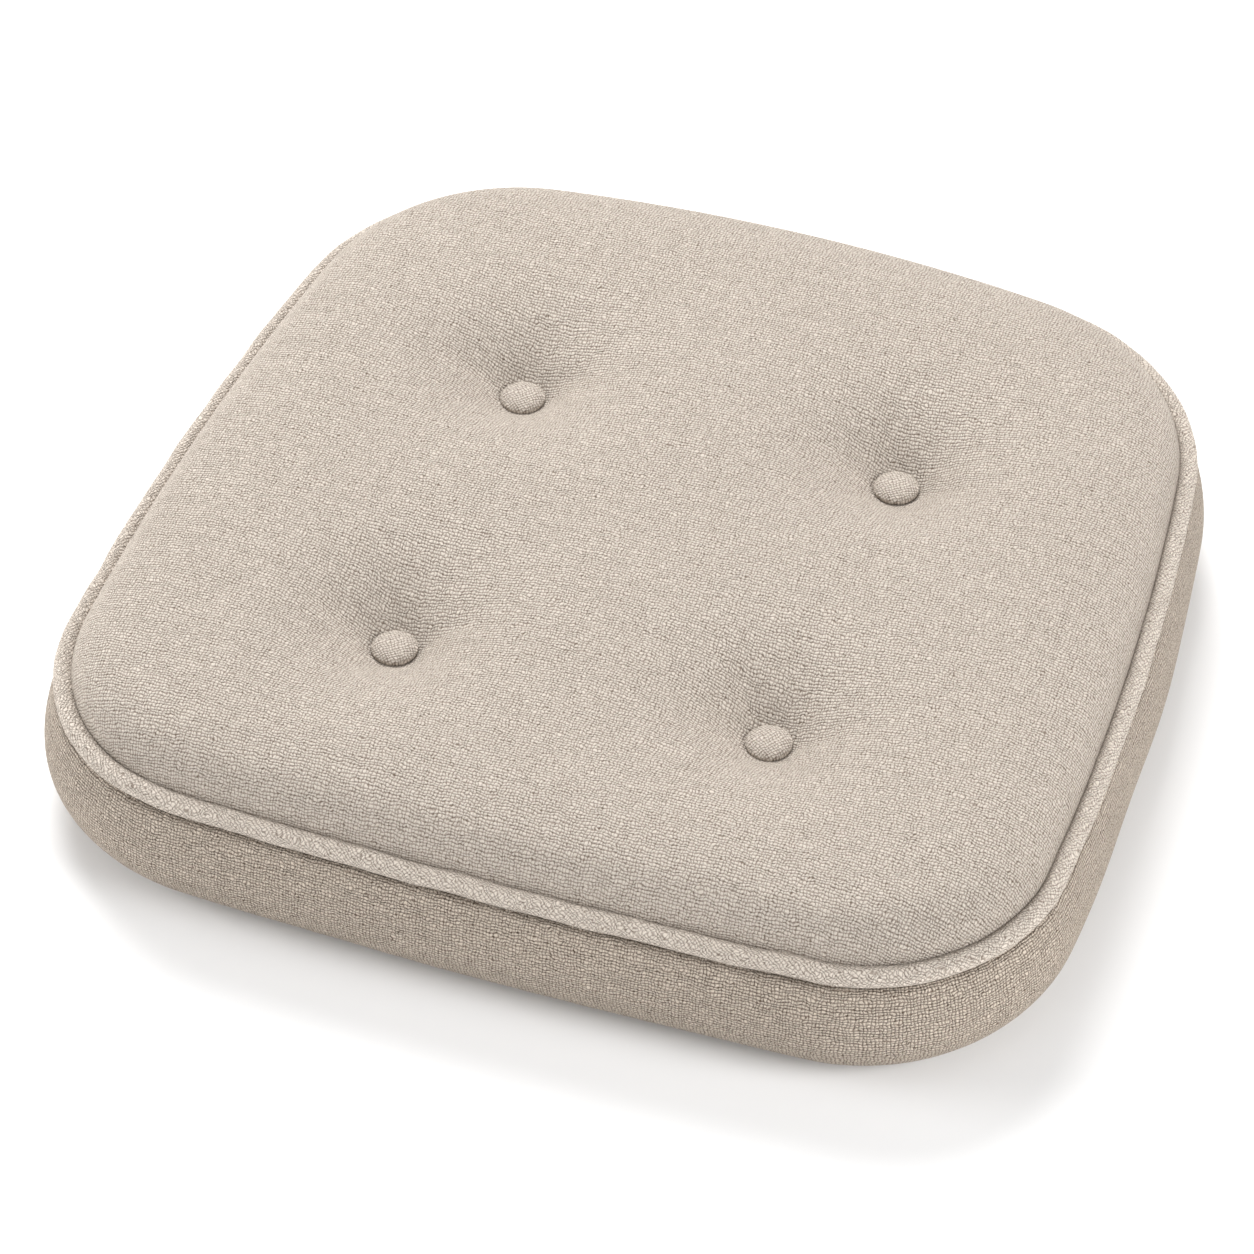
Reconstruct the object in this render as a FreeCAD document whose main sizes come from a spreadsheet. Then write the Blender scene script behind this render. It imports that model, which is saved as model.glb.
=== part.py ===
import FreeCAD, Part
import Sketcher
import math
import os

# Boxed chair seat pad: foam and wadding in a welted cover with four tufting buttons, and a
# zip across the back.  +Z is up, +Y is the back of the seat, the origin is under the middle.
# "Path" is the line of the top welt seen from above.  Lengths are in mm, angles in degrees.
SIZES = {
    # the welt's path: eight arcs, each tangent to the next
    "half_width": 207.0,
    "half_depth": 200.8,
    "widest_y": -76.2,
    "front_edge_radius": 2655.0,
    "side_edge_radius": 1347.0,
    "back_edge_radius": 755.0,
    "front_corner_radius": 79.7,
    "back_corner_radius": 97.7,
    # cover
    "cloth": 1.0,
    "gap": 0.1,
    "bulge": 9.25,
    "bulge_height": 25.4,
    "shoulder_round": 38.5,
    "welt_height": 56.9,
    "welt_radius": 4.35,
    "cord_radius": 3.2,
    "seam_allowance": 13.9,
    "panel_inset": 4.5,
    "top_height": 85.0,
    "top_round": 26.0,
    # filling
    "top_wadding": 7.8,
    "bottom_wadding": 3.7,
    "side_clearance": 3.8,
    "foam_inset": 14.1,
    "foam_top_round": 16.0,
    "foam_bottom_round": 12.0,
    "bottom_wadding_inset": 18.0,
    "wadding_skirt_top": 56.2,
    # tufts
    "front_tuft_x": 79.3,
    "back_tuft_x": 82.4,
    "front_tuft_y": -92.5,
    "back_tuft_y": 64.2,
    "funnel_mouth": 54.0,
    "funnel_round": 51.2,
    "seat_height": 60.0,
    "dimple_mouth": 28.0,
    "dimple_round": 33.1,
    "dimple_depth": 5.0,
    "twine_hole": 3.0,
    "eye_hole": 3.3,
    # tufting button: domed shell under cloth, back plate, wire eye, twine, backing button
    "button_radius": 9.5,
    "button_rim": 1.85,
    "dome_radius": 26.0,
    "button_cloth": 0.7,
    "shell_wall": 0.6,
    "back_plate": 0.8,
    "eye_bend": 1.6,
    "eye_wire": 0.6,
    "eye_drop": 3.0,
    "strand_radius": 0.6,
    "strand_spread": 1.5,
    "strand_hook": 0.2,
    "backing_radius": 9.5,
    "backing_base": 2.4,
    "backing_top": 4.8,
    # zip
    "boxing_angle": 8.35,
    "zip_gap": 4.6,
    "tape_cover": 1.1,
    "tape_thickness": 0.6,
    "tape_edge": 0.6,
    "tape_width": 14.0,
    "tape_angle": 8.25,
    "coil_gap": 0.45,
    "coil_width": 2.55,
    "coil_base": -1.05,
    "coil_height": 1.5,
    "coil_angle": 8.1,
    "slider_length": 13.0,
    "slider_half_width": 4.2,
    "flange_width": 0.7,
    "flange_base": -0.75,
    "slider_front": 0.8,
    "plate": 1.2,
    "slider_back": -3.3,
    "web": 0.3,
    "bail_length": 8.0,
    "bail_width": 2.4,
    "bail_wall": 0.8,
    "bail_opening": 2.0,
    "pull_bar_radius": 0.6,
    "pull_width": 6.0,
    "pull_window": 3.2,
    "pull_length": 24.0,
    "parked_angle": 7.3,
    "stop_angle": 8.0,
    "stop_length": 2.2,
    "stop_width": 3.4,
}

doc = FreeCAD.newDocument("seat_pad")
sheet = doc.addObject("Spreadsheet::Sheet", "Sheet")
for row, (alias, number) in enumerate(SIZES.items(), start=1):
    sheet.set(f"A{row}", alias)
    sheet.set(f"B{row}", str(number))
    sheet.setAlias(f"B{row}", alias)
doc.recompute()


class Size:
    """A number, and the expression on the sheet's cells that gives it."""

    def __init__(self, text, number):
        self.text = text
        self.number = number

    def joined(self, sign, other, number):
        return Size(f"({self.text} {sign} {other.text})", number)

    def __add__(self, other):
        other = as_size(other)
        return self.joined("+", other, self.number + other.number)

    def __sub__(self, other):
        other = as_size(other)
        return self.joined("-", other, self.number - other.number)

    def __mul__(self, other):
        other = as_size(other)
        return self.joined("*", other, self.number * other.number)

    def __rsub__(self, other):
        return as_size(other) - self

    def __neg__(self):
        return as_size(0.0) - self

    __radd__ = __add__
    __rmul__ = __mul__

    def root(self):
        return Size(f"sqrt({self.text})", math.sqrt(self.number))


def as_size(value):
    return value if isinstance(value, Size) else Size(repr(float(value)), float(value))


def cell(alias):
    return Size(f"Sheet.{alias}", float(sheet.get(alias)))


ZERO = as_size(0.0)
DIAGONAL = math.sqrt(0.5)


def bind(item, prop, size):
    item.setExpression(prop, as_size(size).text)


def new_body(label):
    body = doc.addObject("PartDesign::Body", label)
    body.Label = label
    return body


def origin_plane(body, role):
    return next(f for f in body.Origin.OriginFeatures if f.Role == role)


def new_sketch(body, name, role, x=ZERO, y=ZERO, z=ZERO):
    """A sketch on one of the body's origin planes, moved by x and y in it and z off it."""
    sketch = body.newObject("Sketcher::SketchObject", name)
    sketch.AttachmentSupport = (origin_plane(body, role), [""])
    sketch.MapMode = "FlatFace"
    for axis, size in zip("xyz", (x, y, z)):
        bind(sketch, f"AttachmentOffset.Base.{axis}", size)
    doc.recompute()
    return sketch


def hold(sketch, kind, *items, size=None):
    """Adds a constraint, bound to its size where it has one."""
    if size is None:
        sketch.addConstraint(Sketcher.Constraint(kind, *items))
        return
    size = as_size(size)
    index = sketch.addConstraint(Sketcher.Constraint(kind, *items, size.number))
    bind(sketch, f"Constraints[{index}]", size)


def hold_point(sketch, geometry, end, x, y):
    """Fixes a point of the geometry: end 1 is its start, 2 its end and 3 its centre."""
    for kind, along, size in (("DistanceX", "x", x), ("DistanceY", "y", y)):
        size = as_size(size)
        if abs(size.number) < 1e-9:
            axis = -2 if along == "x" else -1
            hold(sketch, "PointOnObject", geometry, end, axis)
        else:
            hold(sketch, kind, -1, 1, geometry, end, size=size)


def add_arc(sketch, centre, radius, start, stop, guide=False):
    circle = Part.Circle(FreeCAD.Vector(centre[0], centre[1], 0), FreeCAD.Vector(0, 0, 1), radius)
    arc = Part.ArcOfCircle(circle, math.radians(start), math.radians(stop))
    return sketch.addGeometry(arc, guide)


def draw_profile(sketch, corners):
    """A closed profile: each corner is (x, y), or (x, y, radius, side) where the line to the
    next corner is an arc, which bows to the left of its chord (side 1) or to the right (-1)."""
    spots = [(as_size(c[0]), as_size(c[1])) for c in corners]
    pieces = []
    for here, corner in enumerate(corners):
        (x1, y1), (x2, y2) = spots[here], spots[(here + 1) % len(spots)]
        begin = FreeCAD.Vector(x1.number, y1.number, 0)
        finish = FreeCAD.Vector(x2.number, y2.number, 0)
        if len(corner) == 2:
            index = sketch.addGeometry(Part.LineSegment(begin, finish))
            pieces.append((index, 1, 2))
            continue
        radius, side = as_size(corner[2]), corner[3]
        chord = finish - begin
        left = FreeCAD.Vector(-chord.y, chord.x, 0).normalize()
        rise = math.sqrt(max(radius.number**2 - chord.Length**2 / 4, 0.0))
        centre = begin + chord * 0.5 - left * (side * rise)
        angles = [math.degrees(math.atan2(p.y - centre.y, p.x - centre.x)) for p in (begin, finish)]
        if side > 0:
            angles.reverse()
        if angles[1] < angles[0]:
            angles[1] += 360.0
        index = add_arc(sketch, (centre.x, centre.y), radius.number, *angles)
        hold(sketch, "Radius", index, size=radius)
        pieces.append((index, 2, 1) if side > 0 else (index, 1, 2))
    for here, (index, first, last) in enumerate(pieces):
        hold_point(sketch, index, first, *spots[here])
        follower, its_first, _ = pieces[(here + 1) % len(pieces)]
        hold(sketch, "Coincident", index, last, follower, its_first)


def draw_circle(sketch, x, y, radius):
    x, y, radius = as_size(x), as_size(y), as_size(radius)
    middle = FreeCAD.Vector(x.number, y.number, 0)
    circle = Part.Circle(middle, FreeCAD.Vector(0, 0, 1), radius.number)
    index = sketch.addGeometry(circle)
    hold(sketch, "Radius", index, size=radius)
    hold_point(sketch, index, 3, x, y)


def inner_centre(one, other, radius, right_of):
    """The centre of a circle that touches two larger circles, (x, y, radius) each, inside."""
    (x1, y1, r1), (x2, y2, r2) = one, other
    r1, r2 = r1 - radius, r2 - radius
    apart = math.hypot(x2 - x1, y2 - y1)
    along = (r1**2 - r2**2 + apart**2) / (2 * apart)
    across = math.sqrt(r1**2 - along**2)
    ux, uy = (x2 - x1) / apart, (y2 - y1) / apart
    spots = [(x1 + along * ux - s * across * uy, y1 + along * uy + s * across * ux) for s in (1, -1)]
    return max(spots, key=lambda p: p[0] * right_of)


def heading(centre, towards):
    return math.degrees(math.atan2(towards[1] - centre[1], towards[0] - centre[0]))


FRONT_Y = cell("front_edge_radius") - cell("half_depth")
BACK_Y = cell("half_depth") - cell("back_edge_radius")
SIDE_X = cell("half_width") - cell("side_edge_radius")


def draw_outline(sketch, inset, whole=True, back_is_guide=False):
    """The path moved inward by inset, whole, or its right half from front to back.  The moved
    arcs keep their centres, so only their radii change."""
    inset = as_size(inset)
    names = ["front_edge", "front_corner", "side_edge", "back_corner", "back_edge"]
    base = {name: cell(f"{name}_radius") for name in names}
    front = (0.0, FRONT_Y.number)
    back = (0.0, BACK_Y.number)
    side = (SIDE_X.number, SIZES["widest_y"])
    front_circle = (*front, base["front_edge"].number)
    side_circle = (*side, base["side_edge"].number)
    back_circle = (*back, base["back_edge"].number)
    front_corner = inner_centre(front_circle, side_circle, base["front_corner"].number, 1)
    back_corner = inner_centre(back_circle, side_circle, base["back_corner"].number, 1)
    centres = [front, front_corner, side, back_corner, back]
    turns = [
        heading(front, front_corner),
        heading(side, front_corner),
        heading(side, back_corner),
        heading(back, back_corner),
    ]
    order = [0, 1, 2, 3, 4]
    limits = [-90.0, *turns, 90.0]
    flips = [1] * 5
    if whole:
        order = [0, 1, 2, 3, 4, 3, 2, 1]
        limits = [-180.0 - turns[0], *turns, *[180.0 - a for a in reversed(turns)]]
        flips = [1] * 5 + [-1] * 3
    for here, (which, flip) in enumerate(zip(order, flips)):
        x, y = centres[which]
        radius = base[names[which]] - inset
        guide = back_is_guide and which == 4
        add_arc(sketch, (x * flip, y), radius.number, limits[here], limits[here + 1], guide)
        hold(sketch, "Radius", here, size=radius)
    for here in range(len(order) - (0 if whole else 1)):
        hold(sketch, "Tangent", here, 2, (here + 1) % len(order), 1)
    hold_point(sketch, 0, 3, ZERO, FRONT_Y)
    hold_point(sketch, 4, 3, ZERO, BACK_Y)
    hold_point(sketch, 2, 3, SIDE_X, cell("widest_y"))
    if whole:
        hold_point(sketch, 6, 3, -SIDE_X, cell("widest_y"))
    else:
        hold(sketch, "PointOnObject", 0, 1, -2)
        hold(sketch, "PointOnObject", 4, 2, -2)


def feature(body, kind, name, sketch=None):
    made = body.newObject(f"PartDesign::{kind}", name)
    if sketch is not None:
        made.Profile = sketch
    return made


def pad_outline(body, name, inset, low, high):
    sketch = new_sketch(body, f"{name}_outline", "XY_Plane", z=low)
    draw_outline(sketch, inset)
    pad = feature(body, "Pad", name, sketch)
    bind(pad, "Length", high - low)
    doc.recompute()
    return pad


def edges_at(shape, height):
    """The names of the edges that lie flat at that height."""
    found = []
    for number, edge in enumerate(shape.Edges, start=1):
        box = edge.BoundBox
        if abs(box.ZMin - height.number) < 1e-4 and abs(box.ZMax - height.number) < 1e-4:
            found.append(f"Edge{number}")
    return found


def round_edges(body, name, base, edges, radius):
    fillet = feature(body, "Fillet", name)
    fillet.Base = (base, edges)
    bind(fillet, "Radius", radius)
    doc.recompute()
    return fillet


def sweep_half(body, name, profile, back_is_guide=False):
    """Sweeps a profile on the plane X = 0 round the right half of the path, then mirrors it."""
    spine = new_sketch(body, f"{name}_path", "XY_Plane")
    draw_outline(spine, ZERO, whole=False, back_is_guide=back_is_guide)
    pipe = feature(body, "AdditivePipe", name, profile)
    pipe.Spine = (spine, [])
    doc.recompute()
    mirror = feature(body, "Mirrored", f"{name}_both")
    mirror.Originals = [pipe]
    mirror.MirrorPlane = (origin_plane(body, "YZ_Plane"), [""])
    body.Tip = mirror
    doc.recompute()
    return mirror


def turn_about(body, kind, name, sketch, angle=360.0):
    """A Revolution or Groove of a sketch about the sketch's own upright axis."""
    turned = feature(body, kind, name, sketch)
    turned.ReferenceAxis = (sketch, ["V_Axis"])
    turned.Midplane = True
    bind(turned, "Angle", angle)
    doc.recompute()
    return turned


def front_profile(body, name):
    """A sketch whose origin is on the path at the front, with X pointing into the pad."""
    return new_sketch(body, name, "YZ_Plane", x=-cell("half_depth"))


def back_profile(body, name):
    """A sketch at the back whose origin is on the back edge's own centre line."""
    return new_sketch(body, name, "YZ_Plane", x=BACK_Y)


def outward(distance):
    """A distance outside the path, for front_profile."""
    return -as_size(distance)


LOWER_CENTRE = cell("bulge") - cell("bulge_height")
UPPER_CENTRE = cell("bulge") - cell("shoulder_round")


def upper_wall(inset, rise):
    """How far outside the path the wall stands, rise above the bulge, moved in by inset."""
    radius = cell("shoulder_round") - inset
    return UPPER_CENTRE + (radius * radius - as_size(rise) * rise).root()


def lower_wall(inset, drop):
    """The same, drop below the bulge."""
    radius = cell("bulge_height") - inset
    return LOWER_CENTRE + (radius * radius - as_size(drop) * drop).root()


def shoulder_point(inset):
    """Where the wall, moved in by inset, starts to lean in at 45 degrees to the seam."""
    reach = (cell("shoulder_round") - inset) * DIAGONAL
    return UPPER_CENTRE + reach, cell("bulge_height") + reach


def seam_point(inset, height):
    """Where that leaning line reaches a height."""
    out, up = shoulder_point(inset)
    return out - (height - up)


BAND_TOP = cell("welt_height") - 0.5 * cell("cloth") - cell("gap")
FLANGE_TOP = cell("welt_height") + 0.5 * cell("cloth")
PANEL_BASE = FLANGE_TOP + cell("gap")
WADDING_TOP = cell("top_height") - cell("cloth") - cell("gap")
FOAM_TOP = WADDING_TOP - cell("top_wadding") - cell("gap")
BOTTOM_WADDING_TOP = cell("cloth") + cell("gap") + cell("bottom_wadding")
FOAM_BOTTOM = BOTTOM_WADDING_TOP + cell("gap")
FUNNEL_CENTRE = cell("top_height") - cell("funnel_round")

TUFTS = {
    "front_left": (-cell("front_tuft_x"), cell("front_tuft_y")),
    "front_right": (cell("front_tuft_x"), cell("front_tuft_y")),
    "back_left": (-cell("back_tuft_x"), cell("back_tuft_y")),
    "back_right": (cell("back_tuft_x"), cell("back_tuft_y")),
}


def tuft_sketch(body, name, tuft, z=ZERO):
    """An upright sketch across a tuft, with its origin on the tuft's axis."""
    x, y = TUFTS[tuft]
    return new_sketch(body, f"{name}_{tuft}", "XZ_Plane", x=x, y=z, z=-y)


def reach_of_funnel(radius, height):
    """The funnel's reach from its axis at a height, for the layer whose round is radius."""
    drop = as_size(height) - FUNNEL_CENTRE
    return cell("funnel_mouth") - (radius * radius - drop * drop).root()


def reach_of_dimple(radius, height):
    drop = cell("dimple_round") - height
    return cell("dimple_mouth") - (radius * radius - drop * drop).root()


def cut_circles(body, name, low, radius, length):
    """Cuts one round hole at each tuft, upward from low."""
    sketch = new_sketch(body, f"{name}_circles", "XY_Plane", z=low)
    for x, y in TUFTS.values():
        draw_circle(sketch, x, y, radius)
    before = body.Shape.Volume
    pocket = feature(body, "Pocket", name, sketch)
    pocket.Reversed = True
    bind(pocket, "Length", length)
    doc.recompute()
    if pocket.Shape.Volume >= before:
        raise RuntimeError(f"{name} cuts nothing")
    return pocket


def foam_core():
    """The block of seat foam, its long edges rounded by the cover's tension, and pulled in
    from above and below at each tuft."""
    body = new_body("foam_core")
    pad = pad_outline(body, "block", cell("foam_inset"), FOAM_BOTTOM, FOAM_TOP)
    top = round_edges(body, "top_edge", pad, edges_at(pad.Shape, FOAM_TOP), cell("foam_top_round"))
    low = edges_at(top.Shape, FOAM_BOTTOM)
    round_edges(body, "bottom_edge", top, low, cell("foam_bottom_round"))
    mouth, dimple = cell("funnel_mouth"), cell("dimple_mouth")
    round_top = FOAM_TOP - FUNNEL_CENTRE
    round_low = cell("dimple_round") - FOAM_BOTTOM
    throat = mouth - round_top
    floor = cell("seat_height") - cell("cloth") - cell("top_wadding") - 2 * cell("gap")
    ceiling = cell("dimple_depth") + FOAM_BOTTOM
    for tuft in TUFTS:
        above = tuft_sketch(body, "funnel", tuft)
        corners = [
            (ZERO, floor),
            (throat, floor),
            (throat, FUNNEL_CENTRE, round_top, 1),
            (mouth, FOAM_TOP),
            (mouth, FOAM_TOP + 1.0),
            (ZERO, FOAM_TOP + 1.0),
        ]
        draw_profile(above, corners)
        turn_about(body, "Groove", f"funnel_cut_{tuft}", above)
        below = tuft_sketch(body, "dimple", tuft)
        corners = [
            (ZERO, FOAM_BOTTOM - 1.0),
            (dimple, FOAM_BOTTOM - 1.0),
            (dimple, FOAM_BOTTOM, round_low, 1),
            (reach_of_dimple(round_low, ceiling), ceiling),
            (ZERO, ceiling),
        ]
        draw_profile(below, corners)
        turn_about(body, "Groove", f"dimple_cut_{tuft}", below)
    cut_circles(body, "twine_holes", FOAM_BOTTOM, cell("twine_hole"), FOAM_TOP)
    return body


def add_funnels(body, outer, inner, floor, thickness, hole):
    """The layer's own funnels: strips between two rounds, closed by a floor with a hole."""
    mouth = cell("funnel_mouth")
    base = floor - thickness
    for tuft in TUFTS:
        sketch = tuft_sketch(body, "funnel", tuft)
        corners = [
            (mouth, FUNNEL_CENTRE + inner),
            (mouth, FUNNEL_CENTRE + outer, outer, -1),
            (reach_of_funnel(outer, floor), floor),
            (hole, floor),
            (hole, base),
        ]
        if base.number < FUNNEL_CENTRE.number:
            corners += [(mouth - inner, base), (mouth - inner, FUNNEL_CENTRE, inner, 1)]
        else:
            corners += [(reach_of_funnel(inner, base), base, inner, 1)]
        draw_profile(sketch, corners)
        turn_about(body, "Revolution", f"funnel_{tuft}", sketch)


def top_wadding():
    """The fibre wrap over the foam, down to the welt's seam allowance."""
    body = new_body("top_wadding")
    inset = cell("panel_inset") + cell("cloth") + cell("gap")
    pad = pad_outline(body, "layer", inset, PANEL_BASE, WADDING_TOP)
    outer_round = cell("top_round") - cell("cloth") - cell("gap")
    dome = round_edges(body, "shoulder", pad, edges_at(pad.Shape, WADDING_TOP), outer_round)
    sketch = new_sketch(body, "foam_room", "XY_Plane", z=PANEL_BASE)
    draw_outline(sketch, cell("foam_inset") - cell("gap"))
    under = FOAM_TOP + cell("gap")
    pocket = feature(body, "Pocket", "foam_pocket", sketch)
    pocket.Reversed = True
    bind(pocket, "Length", under - PANEL_BASE)
    doc.recompute()
    if pocket.Shape.Volume >= dome.Shape.Volume:
        raise RuntimeError("foam_pocket cuts nothing")
    inner_round = cell("foam_top_round") + cell("gap")
    round_edges(body, "foam_shoulder", pocket, edges_at(pocket.Shape, under), inner_round)
    cut_circles(body, "funnel_mouths", under, cell("funnel_mouth"), cell("top_wadding"))
    outer = WADDING_TOP - FUNNEL_CENTRE
    floor = cell("seat_height") - cell("cloth") - cell("gap")
    add_funnels(body, outer, under - FUNNEL_CENTRE, floor, cell("top_wadding"), cell("eye_hole"))
    return body


def top_panel():
    """The cloth on top, from the welt's seam up over the crown and down into the funnels."""
    body = new_body("top_panel")
    pad = pad_outline(body, "crown", cell("panel_inset"), PANEL_BASE, cell("top_height"))
    top_edges = edges_at(pad.Shape, cell("top_height"))
    dome = round_edges(body, "shoulder", pad, top_edges, cell("top_round"))
    open_face = next(
        f"Face{number}"
        for number, face in enumerate(dome.Shape.Faces, start=1)
        if face.BoundBox.ZMax < PANEL_BASE.number + 1e-4
    )
    skin = feature(body, "Thickness", "skin")
    skin.Base = (dome, [open_face])
    skin.Reversed = True
    bind(skin, "Value", cell("cloth"))
    doc.recompute()
    under = cell("top_height") - cell("cloth")
    cut_circles(body, "funnel_mouths", under - 1.0, cell("funnel_mouth"), cell("cloth") + 2.0)
    outer = cell("funnel_round")
    inner = outer - cell("cloth")
    add_funnels(body, outer, inner, cell("seat_height"), cell("cloth"), cell("eye_hole"))
    return body


def add_dimples(body, low, thickness, hole):
    """Shallow dimples in a bottom layer whose underside is at low."""
    mouth = cell("dimple_mouth")
    outer = cell("dimple_round") - low
    inner = outer - thickness
    floor = low + cell("dimple_depth")
    top = floor + thickness
    for tuft in TUFTS:
        sketch = tuft_sketch(body, "dimple", tuft)
        corners = [
            (mouth, low, outer, 1),
            (reach_of_dimple(outer, floor), floor),
            (hole, floor),
            (hole, top),
            (reach_of_dimple(inner, top), top, inner, -1),
            (mouth, low + thickness),
        ]
        draw_profile(sketch, corners)
        turn_about(body, "Revolution", f"dimple_{tuft}", sketch)


def bottom_layer(label, inset, low, thickness):
    body = new_body(label)
    pad_outline(body, "layer", inset, low, low + thickness)
    cut_circles(body, "dimple_mouths", low - 1.0, cell("dimple_mouth"), thickness + 2.0)
    add_dimples(body, low, thickness, cell("twine_hole"))
    return body


def bottom_panel():
    """The flat cloth underneath, which the pad rests on."""
    return bottom_layer("bottom_panel", cell("gap") - LOWER_CENTRE, ZERO, cell("cloth"))


def bottom_wadding():
    low = cell("cloth") + cell("gap")
    return bottom_layer("bottom_wadding", cell("bottom_wadding_inset"), low, cell("bottom_wadding"))


def side_wadding():
    """The ring of fibre wrap that fills the boxing's bulge round the foam."""
    body = new_body("side_wadding")
    inset = cell("side_clearance")
    inner = cell("foam_inset") - cell("gap")
    lower = cell("bulge_height") - inset
    upper = cell("shoulder_round") - inset
    hang = (-inner) - LOWER_CENTRE
    heel = cell("bulge_height") - (lower * lower - hang * hang).root()
    out, up = shoulder_point(inset)
    crest = cell("wadding_skirt_top")
    sketch = front_profile(body, "section")
    corners = [
        (outward(-inner), heel, lower, 1),
        (outward(cell("bulge") - inset), cell("bulge_height"), upper, 1),
        (outward(out), up),
        (outward(seam_point(inset, crest)), crest),
        (outward(-inner), crest),
    ]
    draw_profile(sketch, corners)
    sweep_half(body, "ring", sketch)
    return body


def boxing_corners(side, low=None, high=None):
    """The boxing strip's section, whole, or cut off flat at a height above or below the zip.
    side is outward for a front profile, and gives a distance outside the path."""
    cloth = cell("cloth")
    height = cell("bulge_height")
    turn = 1 if side is outward else -1
    corners_out = []
    corners_in = []
    if low is None:
        corners_out.append((side(LOWER_CENTRE), ZERO, height, turn))
        corners_in.append((side(LOWER_CENTRE), cloth))
        if high is not None:
            drop = height - high
            corners_out.append((side(lower_wall(ZERO, drop)), high))
            start = (side(lower_wall(cloth, drop)), high, height - cloth, -turn)
            return corners_out + [start] + corners_in
    shoulder = cell("shoulder_round")
    start = height if low is None else low
    rise = start - height
    out_start = cell("bulge") if low is None else upper_wall(ZERO, rise)
    in_start = cell("bulge") - cloth if low is None else upper_wall(cloth, rise)
    out, up = shoulder_point(ZERO)
    inner_out, inner_up = shoulder_point(cloth)
    corners_out += [
        (side(out_start), start, shoulder, turn),
        (side(out), up),
        (side(seam_point(ZERO, BAND_TOP)), BAND_TOP),
        (side(seam_point(cloth, BAND_TOP)), BAND_TOP),
        (side(inner_out), inner_up, shoulder - cloth, -turn),
    ]
    last = (side(in_start), start)
    if low is None:
        last = (*last, height - cloth, -turn)
    return corners_out + [last] + corners_in


def from_back_centre(distance):
    """A distance outside the path, for back_profile."""
    return cell("back_edge_radius") + distance


def front_boxing():
    """The boxing strip round the front, the sides and the back corners."""
    body = new_body("front_boxing")
    sketch = front_profile(body, "section")
    draw_profile(sketch, boxing_corners(outward))
    sweep_half(body, "strip", sketch, back_is_guide=True)
    return body


def rear_boxing(label, **cut):
    """One of the two strips that the zip joins across the back."""
    body = new_body(label)
    sketch = back_profile(body, "section")
    draw_profile(sketch, boxing_corners(from_back_centre, **cut))
    turn_about(body, "Revolution", "strip", sketch, 2 * cell("boxing_angle"))
    return body


def welt_cord():
    """The piping cord inside the welt, all the way round."""
    body = new_body("welt_cord")
    sketch = front_profile(body, "section")
    draw_circle(sketch, ZERO, cell("welt_height"), cell("cord_radius"))
    sweep_half(body, "cord", sketch)
    return body


def welt_cover():
    """The bias strip wrapped round the cord, with its seam allowance pointing inward."""
    body = new_body("welt_cover")
    sketch = front_profile(body, "section")
    radius = cell("welt_radius")
    half = 0.5 * cell("cloth")
    root = (radius * radius - half * half).root()
    end = outward(-cell("seam_allowance"))
    low, high = cell("welt_height") - half, cell("welt_height") + half
    lip = outward(-root)
    nose = (outward(radius), cell("welt_height"), radius, -1)
    draw_profile(sketch, [(lip, low), (end, low), (end, high), (lip, high, radius, -1), nose])
    draw_circle(sketch, ZERO, cell("welt_height"), cell("cord_radius") + 0.5 * cell("gap"))
    sweep_half(body, "strip", sketch)
    return body


def button_cover(tuft):
    """The cloth drawn over a tufting button's dome and round its rim."""
    body = new_body(f"button_cover_{tuft}")
    outer, wall = cell("button_radius"), cell("button_cloth")
    dome = cell("dome_radius")
    base = cell("seat_height") + cell("gap")
    rim = base + cell("button_rim")
    crown = rim + dome - (dome * dome - outer * outer).root()
    inner = outer - wall
    inner_dome = dome - wall
    inner_rim = crown - dome + (inner_dome * inner_dome - inner * inner).root()
    sketch = tuft_sketch(body, "section", tuft)
    corners = [
        (inner, base),
        (outer, base),
        (outer, rim, dome, -1),
        (ZERO, crown),
        (ZERO, crown - wall, inner_dome, 1),
        (inner, inner_rim),
    ]
    draw_profile(sketch, corners)
    turn_about(body, "Revolution", "cloth", sketch)
    return body


def button_shell(tuft):
    """The domed metal shell under the button's cloth."""
    body = new_body(f"button_shell_{tuft}")
    lining = cell("button_cloth") + 0.5 * cell("gap")
    outer = cell("button_radius") - lining
    wall = cell("shell_wall")
    dome = cell("dome_radius") - lining
    base = cell("seat_height") + cell("gap")
    full, rim_radius = cell("dome_radius"), cell("button_radius")
    centre = base + cell("button_rim") - (full * full - rim_radius * rim_radius).root()
    inner, inner_dome = outer - wall, dome - wall
    sketch = tuft_sketch(body, "section", tuft)
    corners = [
        (inner, base),
        (outer, base),
        (outer, centre + (dome * dome - outer * outer).root(), dome, -1),
        (ZERO, centre + dome),
        (ZERO, centre + inner_dome, inner_dome, 1),
        (inner, centre + (inner_dome * inner_dome - inner * inner).root()),
    ]
    draw_profile(sketch, corners)
    turn_about(body, "Revolution", "dome", sketch)
    return body


def button_back(tuft):
    """The plate pressed into the back of the shell, which holds the wire eye."""
    body = new_body(f"button_back_{tuft}")
    edge = cell("button_cloth") + cell("shell_wall") + cell("gap")
    sketch = new_sketch(body, "plate_outline", "XY_Plane", z=cell("seat_height") + cell("gap"))
    x, y = TUFTS[tuft]
    draw_circle(sketch, x, y, cell("button_radius") - edge)
    pad = feature(body, "Pad", "plate", sketch)
    bind(pad, "Length", cell("back_plate"))
    doc.recompute()
    return body


def swept_wire(body, name, path, section, x, y, wire_radius):
    draw_circle(section, x, y, wire_radius)
    pipe = feature(body, "AdditivePipe", name, section)
    pipe.Spine = (path, [])
    doc.recompute()
    return pipe


EYE_LOW = cell("seat_height") + cell("gap") - cell("eye_drop") + cell("eye_wire")


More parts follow.
